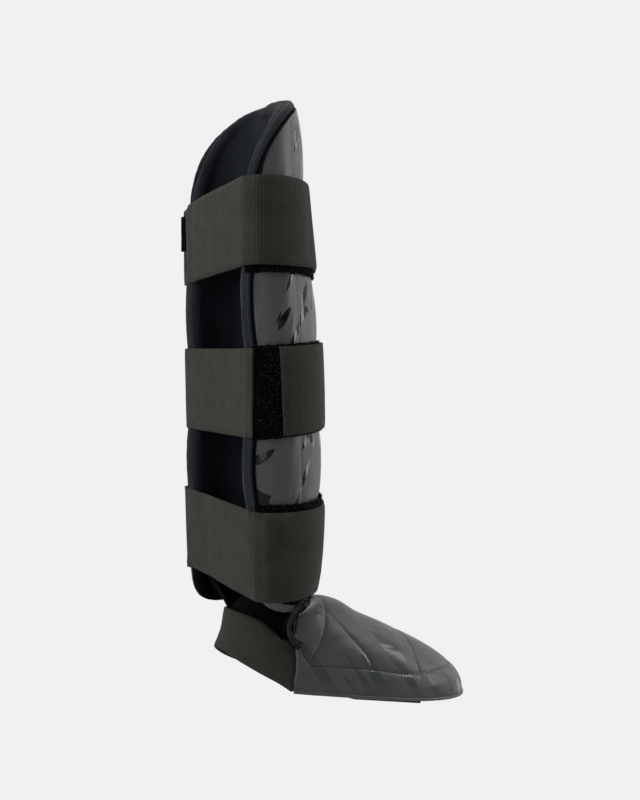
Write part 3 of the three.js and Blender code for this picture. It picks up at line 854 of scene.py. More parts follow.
# Within a ninth of the way from the open edges and a twelfth from the rims the folds run out.
EDGE_RAMP, RIM_RAMP = 9, 12
LINING_INSET = 0.998


def lining_place(share, up):
    """A point of the lining: wide upright folds with narrower ones between, none at the rim."""
    side = 2 * share - 1
    point = shell_point(LINING_INSET * side, up, inner_face, lining_tree)
    fold = noise.noise(Vector((side * WIDE_FOLDS[0], up * WIDE_FOLDS[1], 4.2)))
    fold += 0.5 * noise.noise(Vector((side * NARROW_FOLDS[0], up * NARROW_FOLDS[1], 9.7)))
    rim = min(1.0, EDGE_RAMP * (1 - abs(side)), RIM_RAMP * up, RIM_RAMP * (1 - up))
    return point - Vector((point.x, point.y, 0)).normalized() * FOLD * rim * max(0.0, fold + FOLD_BIAS)


mesh = grid(*LINING_GRID, lining_place, LINING_ROUND, pad_high.z - pad_low.z)
even_out(mesh, 4)
turn_faces(mesh, lambda face: -away(face))
lining = finish_piece(mesh, "shin_lining_knit", lining_knit, ["shin_lining"])
thicken(lining, LINING_THICK)
print("lining has", len(lining.data.polygons), "faces")

# %% [markdown]
# ## The edge binding
# A strip of cloth wraps the rim, sewn through along its middle, so it stands as two soft rolls with a
# groove between. A curve with a bevel profile would twist at the corners. A grid is wrapped instead: one
# way it follows the rim, the other way it runs over the rolls and back under them.

# %% Follow the rim
def rim_walk():
    """Across and up along the whole rim: right edge up, over the top, left edge down, back below."""
    rise = list(np.linspace(0, 1, 130))
    over = list(np.sin(np.linspace(-90, 90, 150) * math.pi / 180))
    yield from ((-1.0, up) for up in rise)
    yield from ((side, 1.0) for side in over[1:-1])
    yield from ((1.0, up) for up in rise[::-1])
    yield from ((side, 0.0) for side in over[-2:0:-1])


# The cloth is folded in on the lining as far as this share of the shell.
FLAP_ACROSS, FLAP_UP = 0.93, 0.95
outer_rim, inner_rim, back_in, flap_in = [], [], [], []
for side, up in rim_walk():
    outer_rim.append(shell_point(side, up))
    inner_rim.append(shell_point(side, up, inner_face, lining_tree))
    inside = (side * FLAP_ACROSS, 0.5 + (up - 0.5) * FLAP_UP)
    back_in.append(shell_point(*inside))
    flap_in.append(shell_point(*inside, inner_face, lining_tree))
outer_rim, inner_rim, back_in, flap_in = map(np.array, (outer_rim, inner_rim, back_in, flap_in))
middle = (outer_rim + inner_rim) / 2
run = run_along(np.concatenate([middle, middle[:1]]))
RIM_STEPS, RIM_OVERLAP, RIM_SOFT = 760, 40, 3.5
marks = np.linspace(0, run[-1], RIM_STEPS, endpoint=False)


def even_round(line):
    """The closed line at even steps, softened so that the solid's facets don't show."""
    line = np.concatenate([line, line[:1]])
    even = np.stack([np.interp(marks, run, line[:, axis]) for axis in range(3)], 1)
    wide = np.concatenate([even[-RIM_OVERLAP:], even, even[:RIM_OVERLAP]])
    return soften(wide, RIM_SOFT)[RIM_OVERLAP:-RIM_OVERLAP]


outer_rim, inner_rim, back_in, flap_in = map(even_round, (outer_rim, inner_rim, back_in, flap_in))
print("rim is", round(run[-1] / MM), "mm long")

# %% Wrap the binding
BINDING_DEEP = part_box("edge_binding")[1].z - pad_high.z
# Rows of the grid over the rolls, along the lining, and back inside the wall.
OVER, FLAP, UNDER = 26, 6, 6
BINDING_WIDE = 60 * MM
GROOVE_DEEP, GROOVE_WIDE = 0.42, 0.2
# The seam lies nearer to the outer face up to the first height and nearer the middle from the second.
GROOVE_HEIGHTS, GROOVE_SHARES = (150 * MM, 185 * MM), (0.24, 0.44)
# At the very top the binding lies flatter behind the raised skin.
PEAK_SHARE, PEAK_SLOPE = 0.35, 9 * MM
# A power below 1 makes the roll fuller than a half circle; long creases and short puckers swell it.
ROLL_POWER = 0.62
LONG_CREASE, CREASE_SHARE = 26 * MM, 0.07
PUCKER, PUCKER_SHARE = 4.2 * MM, 0.09
# The roll is that much wider than the wall, and lies that much outwards from its middle.
PROUD, ASIDE = 0.3 * MM, 0.2 * MM
FLAP_PUFF = 0.4
ROLL_JOIN = 0.002 * MM


def binding_place(share_round, share_over):
    """Over the rim from the outer face to the inner one, along the lining, and back in the wall."""
    step = round(share_round * RIM_STEPS) % RIM_STEPS
    outer, inner = Vector(outer_rim[step]), Vector(inner_rim[step])
    ahead = Vector(outer_rim[(step + 1) % RIM_STEPS]) - Vector(outer_rim[step - 1])
    over = (outer - inner).normalized()
    way = (ahead - over * ahead.dot(over)).normalized()
    out = way.cross(over)
    if out.dot(outer - Vector(back_in[step])) < 0:
        out.negate()
    peak = PEAK_SHARE * math.exp(-(outer.y / PEAK_WIDE) ** 2) if outer.z > 0 else 0.0
    half = (outer - inner).length / 2 + PROUD
    centre = (outer + inner) / 2 + over * (ASIDE - half * peak)
    half *= 1 - peak
    flap = Vector(flap_in[step])
    row = round(share_over * (OVER + FLAP + UNDER))
    if row > OVER + FLAP:
        return (flap + over * MM).lerp(centre + over * half, (row - OVER - FLAP) / UNDER)
    if row > OVER:
        share = (row - OVER) / FLAP
        puffed = share - FLAP_PUFF * math.sin(math.pi * share)
        return (centre - over * half).lerp(flap, share) + over * MM * puffed
    turn = math.pi * row / OVER
    roll = abs(math.sin(turn)) ** ROLL_POWER
    distance = marks[step]
    seam = (turn / math.pi - np.interp(outer.z, GROOVE_HEIGHTS, GROOVE_SHARES)) / GROOVE_WIDE
    groove = 1 - GROOVE_DEEP * (1 - peak) * math.exp(-(2 * seam) ** 2)
    crease = noise.noise(Vector((distance / LONG_CREASE, turn * 1.7, 2.0)))
    pucker = noise.noise(Vector((distance / PUCKER, turn * 1.2, 7.0)))
    swollen = 1 + CREASE_SHARE * crease + PUCKER_SHARE * pucker * math.exp(-(0.8 * seam) ** 2)
    slope = Vector((0, 0, PEAK_SLOPE * peak * math.cos(turn)))
    return centre + over * half * math.cos(turn) + out * BINDING_DEEP * roll * groove * swollen + slope


mesh = grid(RIM_STEPS, OVER + FLAP + UNDER, binding_place, run[-1], BINDING_WIDE)
bmesh.ops.remove_doubles(mesh, verts=mesh.verts, dist=ROLL_JOIN)
bmesh.ops.recalc_face_normals(mesh, faces=mesh.faces)
binding = finish_piece(mesh, "edge_binding_cloth", binding_knit, ["edge_binding"])
rim_tree = surface_tree(binding)
print("binding stands", round(BINDING_DEEP / MM, 1), "mm over the rim, with",
      len(binding.data.polygons), "faces")

# %% [markdown]
# ## Cloths of the binding
# The roll isn't of one cloth: its inner half is the lining's knit, its lower hem is bare coated skin with
# black knit inside, whose near-black is partly painted shade, and its outermost row is near-black too, a
# painted shadow line where the roll meets the skin. Separate pieces would need seams that match. Material
# slots on one mesh share every edge, so each face gets the number of its cloth.

# %% Give the binding its cloths
HEM_TOP = -118 * MM
INNER_FROM, HEM_INNER_FROM = 0.6, 0.45
KNIT_SLOT, HEM_SLOT, BLACK_SHADE_SLOT = 1, 2, 3
for other in (lining_knit, skin_bare, black_knit_painted_shade):
    binding.data.materials.append(other)
cut = binding.data.uv_layers["cut"].data
for face in binding.data.polygons:
    row = cut[face.loop_start].uv.y / BINDING_WIDE * (OVER + FLAP + UNDER)
    below = face.center.z < HEM_TOP
    if row > (HEM_INNER_FROM if below else INNER_FROM) * OVER:
        face.material_index = BLACK_SHADE_SLOT if below else KNIT_SLOT
    elif below:
        face.material_index = HEM_SLOT
    # The outermost row: a painted shadow line in near-black knit where the roll meets the skin.
    elif row < 0.5:
        face.material_index = BLACK_SHADE_SLOT
print("faces of each cloth", np.bincount([face.material_index for face in binding.data.polygons]).tolist())

# %% [markdown]
# ## Reading a band
# Straps and tapes are bands that go round the leg, some of them tilted. A band's mid plane comes from a
# least-squares fit to its solid's corners. From there rays find its two ends, and at each step along it
# its upper and lower edge. The steps are spaced by length, not by angle, so a weave keeps its scale.

# %% A helper that reads a band
STRAP_CLEAR = 1.9 * MM
# About how far a band lies from the leg's axis, how far its ends are searched for, and in how many tries.
BAND_RADIUS = 55 * MM
MOST_TURN, TURN_STEP = 3.4, 0.02
BAND_TRIES = 720


def keep_above(tree, point, gap):
    """Moves a point out from the leg's axis until it clears a surface by that gap."""
    below = outer_face(tree, Vector((0, 0, point.z)), Vector((*point.xy, 0)).normalized())
    if below is None or below.xy.length + gap < point.xy.length:
        return point
    return Vector((*(below.xy.normalized() * (below.xy.length + gap)), point.z))


def read_band(node, hand, middle_angle, pace, levels, even_over, clear_of=()):
    """Outer points of a band, steps by levels, and its length along its middle."""
    tree = tree_of(node)
    corners = np.array([point.co for point in frame["nodes"][node].data.vertices])
    flat = np.column_stack([np.ones(len(corners)), corners[:, 0], corners[:, 1]])
    base, lean_x, lean_y = np.linalg.lstsq(flat, corners[:, 2], rcond=None)[0]
    low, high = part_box(node)

    def root_at(angle, offset=0.0):
        way = toward(angle, hand) * BAND_RADIUS
        return Vector((0, 0, base + lean_x * way.x + lean_y * way.y + offset))

    def meets(angle, offset):
        return outer_face(tree, root_at(angle, offset), toward(angle, hand)) is not None

    first, last = reach(lambda angle: meets(angle, 0.0), middle_angle,
                        middle_angle - MOST_TURN, middle_angle + MOST_TURN, TURN_STEP)
    tries = np.linspace(first + 0.002, last - 0.002, BAND_TRIES)
    line = np.array([outer_face(tree, root_at(angle), toward(angle, hand)) for angle in tries])
    run = run_along(line)
    steps = round(run[-1] / pace)
    angles = np.interp(np.linspace(0, run[-1], steps + 1), run, tries)
    span = high.z - low.z
    points = np.zeros((steps + 1, levels + 1, 3))
    for step, angle in enumerate(angles):
        bottom, top = reach(lambda offset: meets(angle, offset), 0.0, -span, span, 2.5 * MM)
        for level, offset in enumerate(np.linspace(bottom + 0.02 * MM, top - 0.02 * MM, levels + 1)):
            found = outer_face(tree, root_at(angle, offset), toward(angle, hand))
            if found is None:
                found = tree.find_nearest(root_at(angle, offset) + toward(angle, hand) * BAND_RADIUS)[0]
            for below in clear_of:
                found = keep_above(below, found, STRAP_CLEAR)
            points[step, level] = found
    points = soften(points, even_over / pace)
    for below in clear_of:
        points = np.apply_along_axis(
            lambda spot: keep_above(below, Vector(spot), 0.7 * STRAP_CLEAR), 2, points)
    return points, run[-1]


def width_at(points, column):
    """The width of a band at one of its columns."""
    return float(np.linalg.norm(points[column, -1] - points[column, 0]))


def mean_width(points):
    """The width of a band that isn't the same all along."""
    return float(np.linalg.norm(points[:, -1] - points[:, 0], axis=1).mean())


print("a strap clears what it lies on by", STRAP_CLEAR / MM, "mm")

# %% [markdown]
# ## Cutting a band
# A strap's end is cut straight, at a slant, or with one corner off. A boolean could cut a finished strap,
# but it would leave ragged triangles along the ribs. Here the cut is made in the grid: the last columns
# are leaned or squeezed before their points are placed, so every face stays a quad.

# %% Helpers that cut a band
CORNER_LONG, SLANT_LONG = 14 * MM, 22 * MM


def on_band(points, step, level):
    """A point between the band's own, or a little beyond its ends."""
    steps, levels = points.shape[0] - 1, points.shape[1] - 1
    first, row = min(max(int(step), 0), steps - 1), min(int(level), levels - 1)
    along, up = step - first, level - row
    low = points[first, row] * (1 - up) + points[first, row + 1] * up
    high = points[first + 1, row] * (1 - up) + points[first + 1, row + 1] * up
    return Vector(low * (1 - along) + high * along)


def band_piece(name, points, length, width, material, slot, node, change, trim=(0, 0), slant=0, corner=0):
    """A grid on a band's outer face; change(point, outward, distance, level share) adds its relief.

    trim shortens its two ends and slant leans its tip, in metres, and corner is the share of the width
    that the cut takes off the tip's lower corner."""
    steps, levels = points.shape[0] - 1, points.shape[1] - 1
    per_metre = steps / length
    start, end = trim[0] * per_metre, steps - trim[1] * per_metre

    def place(share, level_share):
        from_end = (1 - share) * (end - start) / per_metre
        cut = corner * max(0.0, 1 - from_end / CORNER_LONG)
        level = (cut + (1 - cut) * level_share) * levels
        lean = slant * (level_share - 0.5) * max(0.0, 1 - from_end / SLANT_LONG)
        step = start + share * (end - start) + lean * per_metre
        point = on_band(points, step, level)
        ahead = on_band(points, step + 1, level) - on_band(points, step - 1, level)
        rise = on_band(points, step, levels) - on_band(points, step, 0)
        outward = ahead.cross(rise).normalized()
        if outward.dot(Vector((*point.xy, 0))) < 0:
            outward.negate()
        return change(point, outward, share * length, level_share)

    mesh = grid(round(end - start), levels, place, (end - start) / per_metre, width)
    turn_faces(mesh, away)
    return finish_piece(mesh, name, material, [node] if node else ())


# Rays that graze a solid's end give uneven columns, so that many are made anew from the good ones, which
# fall or rise as the next few do.
BAD_COLUMNS, FALL_OVER = 8, 6


def lengthen(points, more, pace):
    """Puts columns before a band's first good one, turned on round the leg's axis.

    pace is the length of a column, below 0 where the band turns to the wearer's right."""
    points = points[BAD_COLUMNS:]
    fall = (points[0, :, 2] - points[FALL_OVER, :, 2]) / FALL_OVER
    added = []
    for step in range(round(more / abs(pace)) + BAD_COLUMNS, 0, -1):
        turn = -step * pace / np.hypot(*points[0, :, :2].mean(axis=0))
        x, y, z = points[0].T
        ahead = x * math.cos(turn) - y * math.sin(turn)
        aside = x * math.sin(turn) + y * math.cos(turn)
        added.append(np.stack([ahead, aside, z + step * fall], 1))
    return np.concatenate([np.array(added), points])


print("columns made anew at a band's start:", BAD_COLUMNS)

# %% [markdown]
# ## The loop tapes
# Under each strap a wide tape of loop pile is sewn round the shell, for the strap's hooks to hold. Nylon
# loops give a deep black nap that is torn and uneven at its edges. A displacement in the material would
# give the nap, but not on the exported mesh. So the tape is a grid whose points are roughened by noise,
# finer than a millimetre on its face and coarser along its two edges.

# %% Lay the loop tapes
NAP = 0.45 * MM
RAGGED = 0.9 * MM
# At the wearer's right the tapes reach back to the groove of the binding.
TAPE_MORE = 9 * MM
TAPE_PACE, TAPE_LEVELS, TAPE_SOFT = 1.3 * MM, 44, 2 * MM
TAPE_CLEAR, TAPE_THICK = 0.9 * MM, 1.0 * MM
CLUMP, LOOP, TEAR = 2.1 * MM, 0.9 * MM, 1.7 * MM
# The bottom tape hangs out that much further below its strap.
BOTTOM_DROP = 3 * MM
TAPE_COLUMN = 20


def nap_change(point, outward, distance, level):
    """Clumped loops on the face, and torn ones along the two edges."""
    point = keep_above(rim_tree, point, TAPE_CLEAR)
    rough = noise.noise(point / CLUMP) + 0.6 * noise.noise(point / LOOP)
    edge = abs(2 * level - 1) ** 14
    torn = Vector((0, 0, math.copysign(1, level - 0.5))) * RAGGED * edge * noise.noise(point / TEAR)
    return point + outward * NAP * rough + torn


tapes, tape_trees = {}, {}
for place in ("top", "middle", "bottom"):
    points, length = read_band(f"loop_band_{place}", 1, 0.0, TAPE_PACE, TAPE_LEVELS, TAPE_SOFT)
    points = lengthen(points, TAPE_MORE, TAPE_PACE)
    length += TAPE_MORE
    if place == "bottom":
        points[:, :, 2] -= np.linspace(BOTTOM_DROP, 0, points.shape[1])
    width = width_at(points, TAPE_COLUMN)
    tape = band_piece(f"loop_tape_{place}", points, length, width, pile, "loop_pile",
                      f"loop_band_{place}", nap_change)
    thicken(tape, TAPE_THICK)
    tapes[place] = points
    tape_trees[place] = surface_tree(tape)
    print("tape", place, round(length / MM), "by", round(width / MM, 1), "mm")

# %% [markdown]
# ## The elastic straps
# Each strap is woven elastic, sewn to one open edge of the shell, drawn across the back and round to its
# loop tape. It is thin and lies taut, so it isn't simulated: it is a grid on its solid's outer face with
# every rib of the weave as real relief, four columns to a rib, and a live Solidify for its thickness.

# %% The relief of woven elastic
RIB_HIGH = 0.2 * MM
STRAP_THICK = 1.5 * MM
# A rib has four columns of points.
RIB_COLUMN = RIB / 4
# Height and length of slow waves along a strap, up and down and then in and out.
SLACK, SLACK_LONG = 0.5 * MM, 38 * MM
BOW, BOW_LONG = 0.35 * MM, 30 * MM
# The woven edges lie lower than the rest, and each rib makes them bulge a little.
EDGE_LOW, EDGE_BULGE = 0.25 * MM, 0.12 * MM


def rib_change(point, outward, distance, level):
    """Ribs across the strap, lower woven edges, and slow waves along it."""
    rib = 0.5 + 0.5 * math.cos(2 * math.pi * distance / RIB)
    selvedge = abs(2 * level - 1) ** 10
    slack = Vector((0, 0, 1)) * SLACK * noise.noise(Vector((distance / SLACK_LONG, level * 0.7, 5.0)))
    bow = BOW * noise.noise(Vector((distance / BOW_LONG, level * 2.0, 1.0)))
    edge = Vector((0, 0, math.copysign(1, level - 0.5))) * EDGE_BULGE * rib * selvedge
    return point + outward * (RIB_HIGH * rib - EDGE_LOW * selvedge + bow) + slack + edge


# How far the wearer's left corner of a strap is drawn in; the top strap lies there under its own end.
DRAWN_IN = {"top": 3.2 * MM, "middle": 0.0, "bottom": -2.4 * MM}
LEFT_CORNER, CORNER_WIDE = 124, 16
CORNER_CLEAR = 1.2 * MM


def draw_in(spot, depth):
    """Draws a point near the left corner towards the leg, but not into the binding."""
    x, y, z = spot
    near = math.exp(-((math.degrees(math.atan2(y, x)) - LEFT_CORNER) / CORNER_WIDE) ** 2)
    inward = depth * near / math.hypot(x, y)
    return keep_above(rim_tree, Vector((x * (1 - inward), y * (1 - inward), z)), CORNER_CLEAR)


print("ribs stand", RIB_HIGH / MM, "mm high, one every", RIB / MM, "mm")

# %% Weave the straps
STRAP_LEVELS, STRAP_SOFT, STRAP_COLUMN = 16, 1.6 * MM, 400
# Each strap is searched from behind the leg, and closes to one hand.
BEHIND_LEG = math.radians(300)
HANDS = {"top": 1, "middle": -1, "bottom": 1}
TIPS = {
    "top": dict(trim=(0, 46 * MM)),
    "middle": dict(trim=(8 * MM, 0), slant=4 * MM),
    "bottom": dict(corner=0.15),
}
# The hook tab lies where the top strap's last columns and its middle rows are.
TAB_COLUMNS, TAB_LEVELS = 96, slice(7, 15)
straps, strap_points = {}, {}
for place, hand in HANDS.items():
    points, length = read_band(f"strap_{place}", hand, BEHIND_LEG, RIB_COLUMN, STRAP_LEVELS, STRAP_SOFT,
                               (rim_tree, tape_trees[place]))
    if place == "top":
        tab_points = points[-TAB_COLUMNS:, TAB_LEVELS].copy()
    else:
        # The top strap's first end lies hidden; the others show theirs, so it is made even.
        points = lengthen(points, 0.0, hand * RIB_COLUMN)
    points = np.apply_along_axis(draw_in, 2, points, DRAWN_IN[place])
    width = width_at(points, STRAP_COLUMN)
    strap = band_piece(f"elastic_strap_{place}", points, length, width, elastic, "elastic",
                       f"strap_{place}", rib_change, **TIPS[place])
    thicken(strap, STRAP_THICK)
    length -= sum(TIPS[place].get("trim", (0, 0)))
    straps[place], strap_points[place] = strap, points
    print("strap", place, round(length / MM), "by", round(width / MM, 1), "mm")

# %% [markdown]
# ## Loose fibres
# Where a strap leaves its tape bare, worn nylon loops stand up and catch the light as a grey fuzz. A
# particle system of hair would make them, but hair isn't a mesh and isn't exported. Each fibre here is a
# cone with three sides, leaning at random. A ray from its foot tells whether a strap covers the spot, and
# a fixed seed makes every run give the same fuzz.

# %% Stand fibres on the bare margins
random.seed(4)
FIBRES = 6000
FIBRE_THICK, FIBRE_TIP = 0.11 * MM, 0.03 * MM
FIBRE_LONG = (0.9, 2.2)
# How far a fibre strays from its point, in millimetres, how far it leans, and how near a strap covers it.
STRAY, LEAN, COVERED = 0.8, 0.9, 8 * MM
for place, points in tapes.items():
    strap_tree = surface_tree(straps[place])
    mesh = bmesh.new()
    mesh.loops.layers.uv.new("cut")
    for number in range(FIBRES):
        step = random.randrange(points.shape[0])
        level = random.randrange(points.shape[1])
        aside = Vector([random.uniform(-STRAY, STRAY) * MM for axis in range(3)])
        spot = Vector(points[step, level]) + aside
        outward = Vector((*spot.xy, 0)).normalized()
        if strap_tree.ray_cast(spot, outward, COVERED)[0] is not None:
            continue
        lean = (outward + Vector([random.uniform(-LEAN, LEAN) for axis in range(3)])).normalized()
        long = random.uniform(*FIBRE_LONG) * MM
        turn = lean.to_track_quat("Z", "Y").to_matrix().to_4x4()
        bmesh.ops.create_cone(mesh, segments=3, radius1=FIBRE_THICK, radius2=FIBRE_TIP, depth=long,
                              matrix=Matrix.Translation(spot + lean * long * 0.4) @ turn)
    print("fibres", place, len(mesh.faces) // 3)
    finish_piece(mesh, f"loop_fibres_{place}", loose_loops)

# %% [markdown]
# ## The hook tab
# A strip of hook tape comes out from under the end of the top strap and holds it to its own beginning.
# Real hooks are a fraction of a millimetre high, far too fine to model one by one. The tab is cut from
# the strap's own columns, beyond its trimmed end, with a fine rough face, and its root is pressed in so
# that it passes below the strap.

# %% The hook tab of the top strap
TAB_MIDDLE, TAB_FROM_CORNER = 4, 3
TAB_DEEP, TAB_UNDER = 1.4 * MM, 20
TAB_THICK = 1.4 * MM
HOOK_HIGH, HOOK_WIDE = 0.15 * MM, 1.2 * MM
tab_turn = np.degrees(np.arctan2(tab_points[:, TAB_MIDDLE, 1], tab_points[:, TAB_MIDDLE, 0]))
tab_points = tab_points[tab_turn < LEFT_CORNER - TAB_FROM_CORNER]
tab_long = (len(tab_points) - 1) * RIB_COLUMN
tab_wide = width_at(tab_points, 0)
under_end = TAB_DEEP * np.clip(1 - np.arange(len(tab_points)) / TAB_UNDER, 0, 1)[:, None]
tab_points[:, :, :2] *= 1 - (under_end / np.linalg.norm(tab_points[:, :, :2], axis=2))[:, :, None]


def hook_change(point, outward, distance, level):
    """A fine rough face."""
    return point + outward * HOOK_HIGH * noise.noise(point / HOOK_WIDE)


tab = band_piece("hook_tab_top", tab_points, tab_long, tab_wide, pile, "loop_pile", None, hook_change)
thicken(tab, TAB_THICK)
print("hook tab", round(tab_long / MM), "by", round(tab_wide / MM), "mm")

# %% [markdown]
# ## Sewn strap ends
# The tip of a strap is folded once and sewn down with two rows of thread, parallel to its cut. The rows
# could be drawn by hand on each strap. They are read from the strap's own columns instead, a few
# millimetres in from the tip and leaning as the tip does, so they stay on it if the strap changes.

# %% Sew the strap ends
ROW_LEVELS, ROW_POINTS = (0.04, 0.96), 80
ROW_INSETS = (2.6 * MM, 5.2 * MM)


def band_line(points, step_from, step_to):
    """A straight line of sewing from a band's lower edge to its upper one, between two columns."""
    steps, levels = points.shape[0] - 1, points.shape[1] - 1
    rows = np.linspace(*ROW_LEVELS, ROW_POINTS) * levels
    columns = np.linspace(step_from, step_to, ROW_POINTS)
    return [Vector(points[int(round(min(max(c, 0), steps))), int(round(r))]) for r, c in zip(rows, columns)]


for place, points in strap_points.items():
    end = points.shape[0] - 1 - TIPS[place].get("trim", (0, 0))[1] / RIB_COLUMN
    lean = TIPS[place].get("slant", 0) / 2
    rows = [band_line(points, end - (inset + lean) / RIB_COLUMN, end - (inset - lean) / RIB_COLUMN)
            for inset in ROW_INSETS]
    sew(f"strap_stitches_{place}", rows, straps[place], pitch=3.2 * MM, length=2.4 * MM, thick=0.45 * MM)

# %% [markdown]
# ## The foot upper
# A padded hood over the instep, open below. Its section is an arch that shrinks to the toes, so here the
# rays start from the line where the foot stands and fan out across it. The tilt of that line is read
# from the record: the face under the sole strap looks straight down from the foot.

# %% Measure the foot
under = next(mount for mount in frame["record"]["mounts"] if mount["name"] == "sole_strap_under")
foot_up = -Vector(under["axis"]).normalized()
foot_ahead = Vector((foot_up.z, 0, -foot_up.x))
foot_tree = tree_of("foot_pad")
foot_corners = [point.co for point in frame["nodes"]["foot_pad"].data.vertices]
rim_level = min(corner.dot(foot_up) for corner in foot_corners)
toe = max(foot_corners, key=lambda corner: corner.dot(foot_ahead)).copy()
toe.y = 0.0
toe_ahead = toe.dot(foot_ahead)
heel_ahead = min(corner.dot(foot_ahead) for corner in foot_corners)


# The rays start this little above the lower rim, and stop as little short of it.
RAY_UP, SPREAD_SHARE = 0.4 * MM, 0.997


def foot_ray(ahead, angle):
    """A ray across the foot, that far ahead and at that angle from straight up."""
    root = foot_ahead * ahead + foot_up * (rim_level + RAY_UP)
    return root, foot_up * math.cos(angle) + Vector((0, math.sin(angle), 0))


def foot_meets(ahead, angle):
    """Whether the upper is there at all."""
    return outer_face(foot_tree, *foot_ray(ahead, angle)) is not None


reaches = np.linspace(heel_ahead + 40 * MM, toe_ahead - 0.8 * MM, 60)
spreads = []
for ahead in reaches:
    spreads.append(reach(lambda angle: foot_meets(ahead, angle), 0.0,
                         0.0, math.radians(95), math.radians(3))[1])


def foot_spread(ahead):
    """The angle at which the lower rim lies, that far ahead."""
    return SPREAD_SHARE * np.interp(ahead, reaches, spreads)


foot_sides = np.linspace(-1, 1, 81)
rears = []
for side in foot_sides:
    rears.append(reach(lambda ahead: foot_meets(ahead, side * foot_spread(ahead)), heel_ahead + 90 * MM,
                       heel_ahead - MM, toe_ahead, 3 * MM)[0])
print("foot runs", round((toe_ahead - heel_ahead) / MM), "mm, rear edge at",
      [round(value / MM) for value in rears[::20]])

# %% [markdown]
# ## The form of the upper
# Seen from the side the instep is stuffed fuller than a plain arch, and the rear edge is cut in a little
# on both sides of the ankle. The stuffing could be sculpted, but a sculpted mesh can't be read or changed
# in a script. It is added along the rays, by smooth ramps of the distance from the heel and of the angle.

# %% Find a point of the upper
# Seams and stuffing are measured from this line across the rear of the upper.
HEEL_LINE = Vector((10 * MM, 0, -216 * MM)).dot(foot_ahead)
INSTEP, INSTEP_FULL, INSTEP_END, INSTEP_START = 5 * MM, 48 * MM, 66 * MM, 10 * MM
CUT_IN, CUT_FROM, CUT_WIDE = 3.5 * MM, 0.3, 0.6
LEFT_ROUND, ROUND_FROM = 6 * MM, 0.75
# The grid's rows crowd towards the toes, where the upper bends most.
TOE_CROWD = 1.45


def foot_rear(side):
    """Where the upper begins, from -1 at the lower rim of the right side to 1 at the left one."""
    rear = np.interp(side, foot_sides, rears)
    rear += CUT_IN * math.sin(math.pi * min(1.0, max(0.0, (abs(side) - CUT_FROM) / CUT_WIDE)))
    return rear + LEFT_ROUND * max(0.0, (side - ROUND_FROM) / (1 - ROUND_FROM)) ** 2


def foot_skin(ahead, angle):
    """A point of the upper's outer face, or None where a ray passes it."""
    found = outer_face(foot_tree, *foot_ray(ahead, angle))
    if found is None:
        return None
    started = (ahead - foot_rear(angle / foot_spread(ahead))) / INSTEP_START
    full = np.interp(ahead - HEEL_LINE, (INSTEP_FULL, INSTEP_END), (1, 0)) * min(1.0, max(0.0, started))
    swollen = INSTEP * (3 - 2 * full) * full ** 2 * max(0.0, math.cos(1.5 * angle)) ** 2
    return found + foot_ray(ahead, angle)[1] * swollen


def foot_place(share, along_share):
    """A point of the upper's grid, from the right rim to the left and from the rear edge to the toe."""
    side = 2 * share - 1
    rear, front = foot_rear(side), toe_ahead - 0.5 * MM
    if along_share > 0.999:
        return toe.copy()
    ahead = rear + (front - rear) * (1 - (1 - along_share) ** TOE_CROWD)
    angle = side * foot_spread(ahead)
    root, way = foot_ray(ahead, angle)
    return foot_skin(ahead + 0.05 * MM, angle) or foot_tree.find_nearest(root + way * 40 * MM)[0]


print("ridge behind the toes at", [round(value / MM, 1) for value in foot_place(0.5, 0.5)], "mm")

# %% Lay the skin on the foot
FOOT_ACROSS, FOOT_ALONG = 52, 56
FOOT_ROUND = 150 * MM
# The last row is one point, the toe.
TOE_JOIN = 0.05 * MM
mesh = grid(FOOT_ACROSS, FOOT_ALONG, foot_place, FOOT_ROUND, toe_ahead - heel_ahead)
bmesh.ops.remove_doubles(mesh, verts=mesh.verts, dist=TOE_JOIN)
even_out(mesh, 3)
turn_faces(mesh, lambda face: foot_up)
foot = finish_piece(mesh, "foot_pad_skin", skin_foot, ["foot_pad"])
print("foot skin has", len(foot.data.polygons), "faces before it is refined")

# %% [markdown]
# ## The seams of the foot
# The upper is sewn from a collar, a ridge and side panels, and the foam stands up between their seams. A
# knife could cut the seams into the mesh. Here each one is a few marks, in millimetres ahead of the heel
# line and degrees from the ridge, joined to a smooth line on the solid. The lines hold the skin while it
# swells, then press it in, and then carry the stitches. Mirrored marks serve the other side.

# %% Swell the foot and pull its seams in
FOOT_SEAMS = {
    "collar": [(30, 0), (28.5, -12), (26.3, -21), (22, -34), (18.5, -44), (13.5, -53), (9.2, -60.5),
               (6.8, -65.6)],
    "dart": [(-0.2, -49), (3.1, -58), (6.8, -65.6)],
    "side": [(6.8, -65.6), (20.5, -65.6), (38, -65.3), (66, -65.1), (96, -67), (114, -65), (133, -58),
             (152, -46), (163, -30), (167, 0)],
    "arch": [(14, -14.5), (26.4, -22.7), (36, -32), (43, -39.5), (48.7, -44), (54.6, -49), (60.6, -56),
             (65, -65.1)],
    "ball": [(108.5, 0), (109, -13), (110.5, -25), (110.7, -37), (112, -50), (113, -62), (113.5, -69)],
}
PER_MARK, MARK_SOFT = 40, 14
FOOT_SEAM_DEEP, FOOT_SEAM_HELD = 0.45 * MM, 2.2 * MM
FOOT_SWELL = 2.5 * MM
# Towards the toes the padding gets thinner.
FOOT_FOAM, TOE_SHARE, TOE_RUN = 7 * MM, 0.15, 60 * MM


def foot_line(marks, hand):
    """A seam as close points on the solid, for the right side or mirrored to the left."""
    run = np.linspace(0, len(marks) - 1, PER_MARK * len(marks))
    fine = np.stack([np.interp(run, range(len(marks)), values) for values in zip(*marks)], 1)
    line = [foot_skin(HEEL_LINE + ahead * MM, hand * math.radians(angle))
            for ahead, angle in soften(fine, MARK_SOFT)]
    return [point for point in line if point is not None]


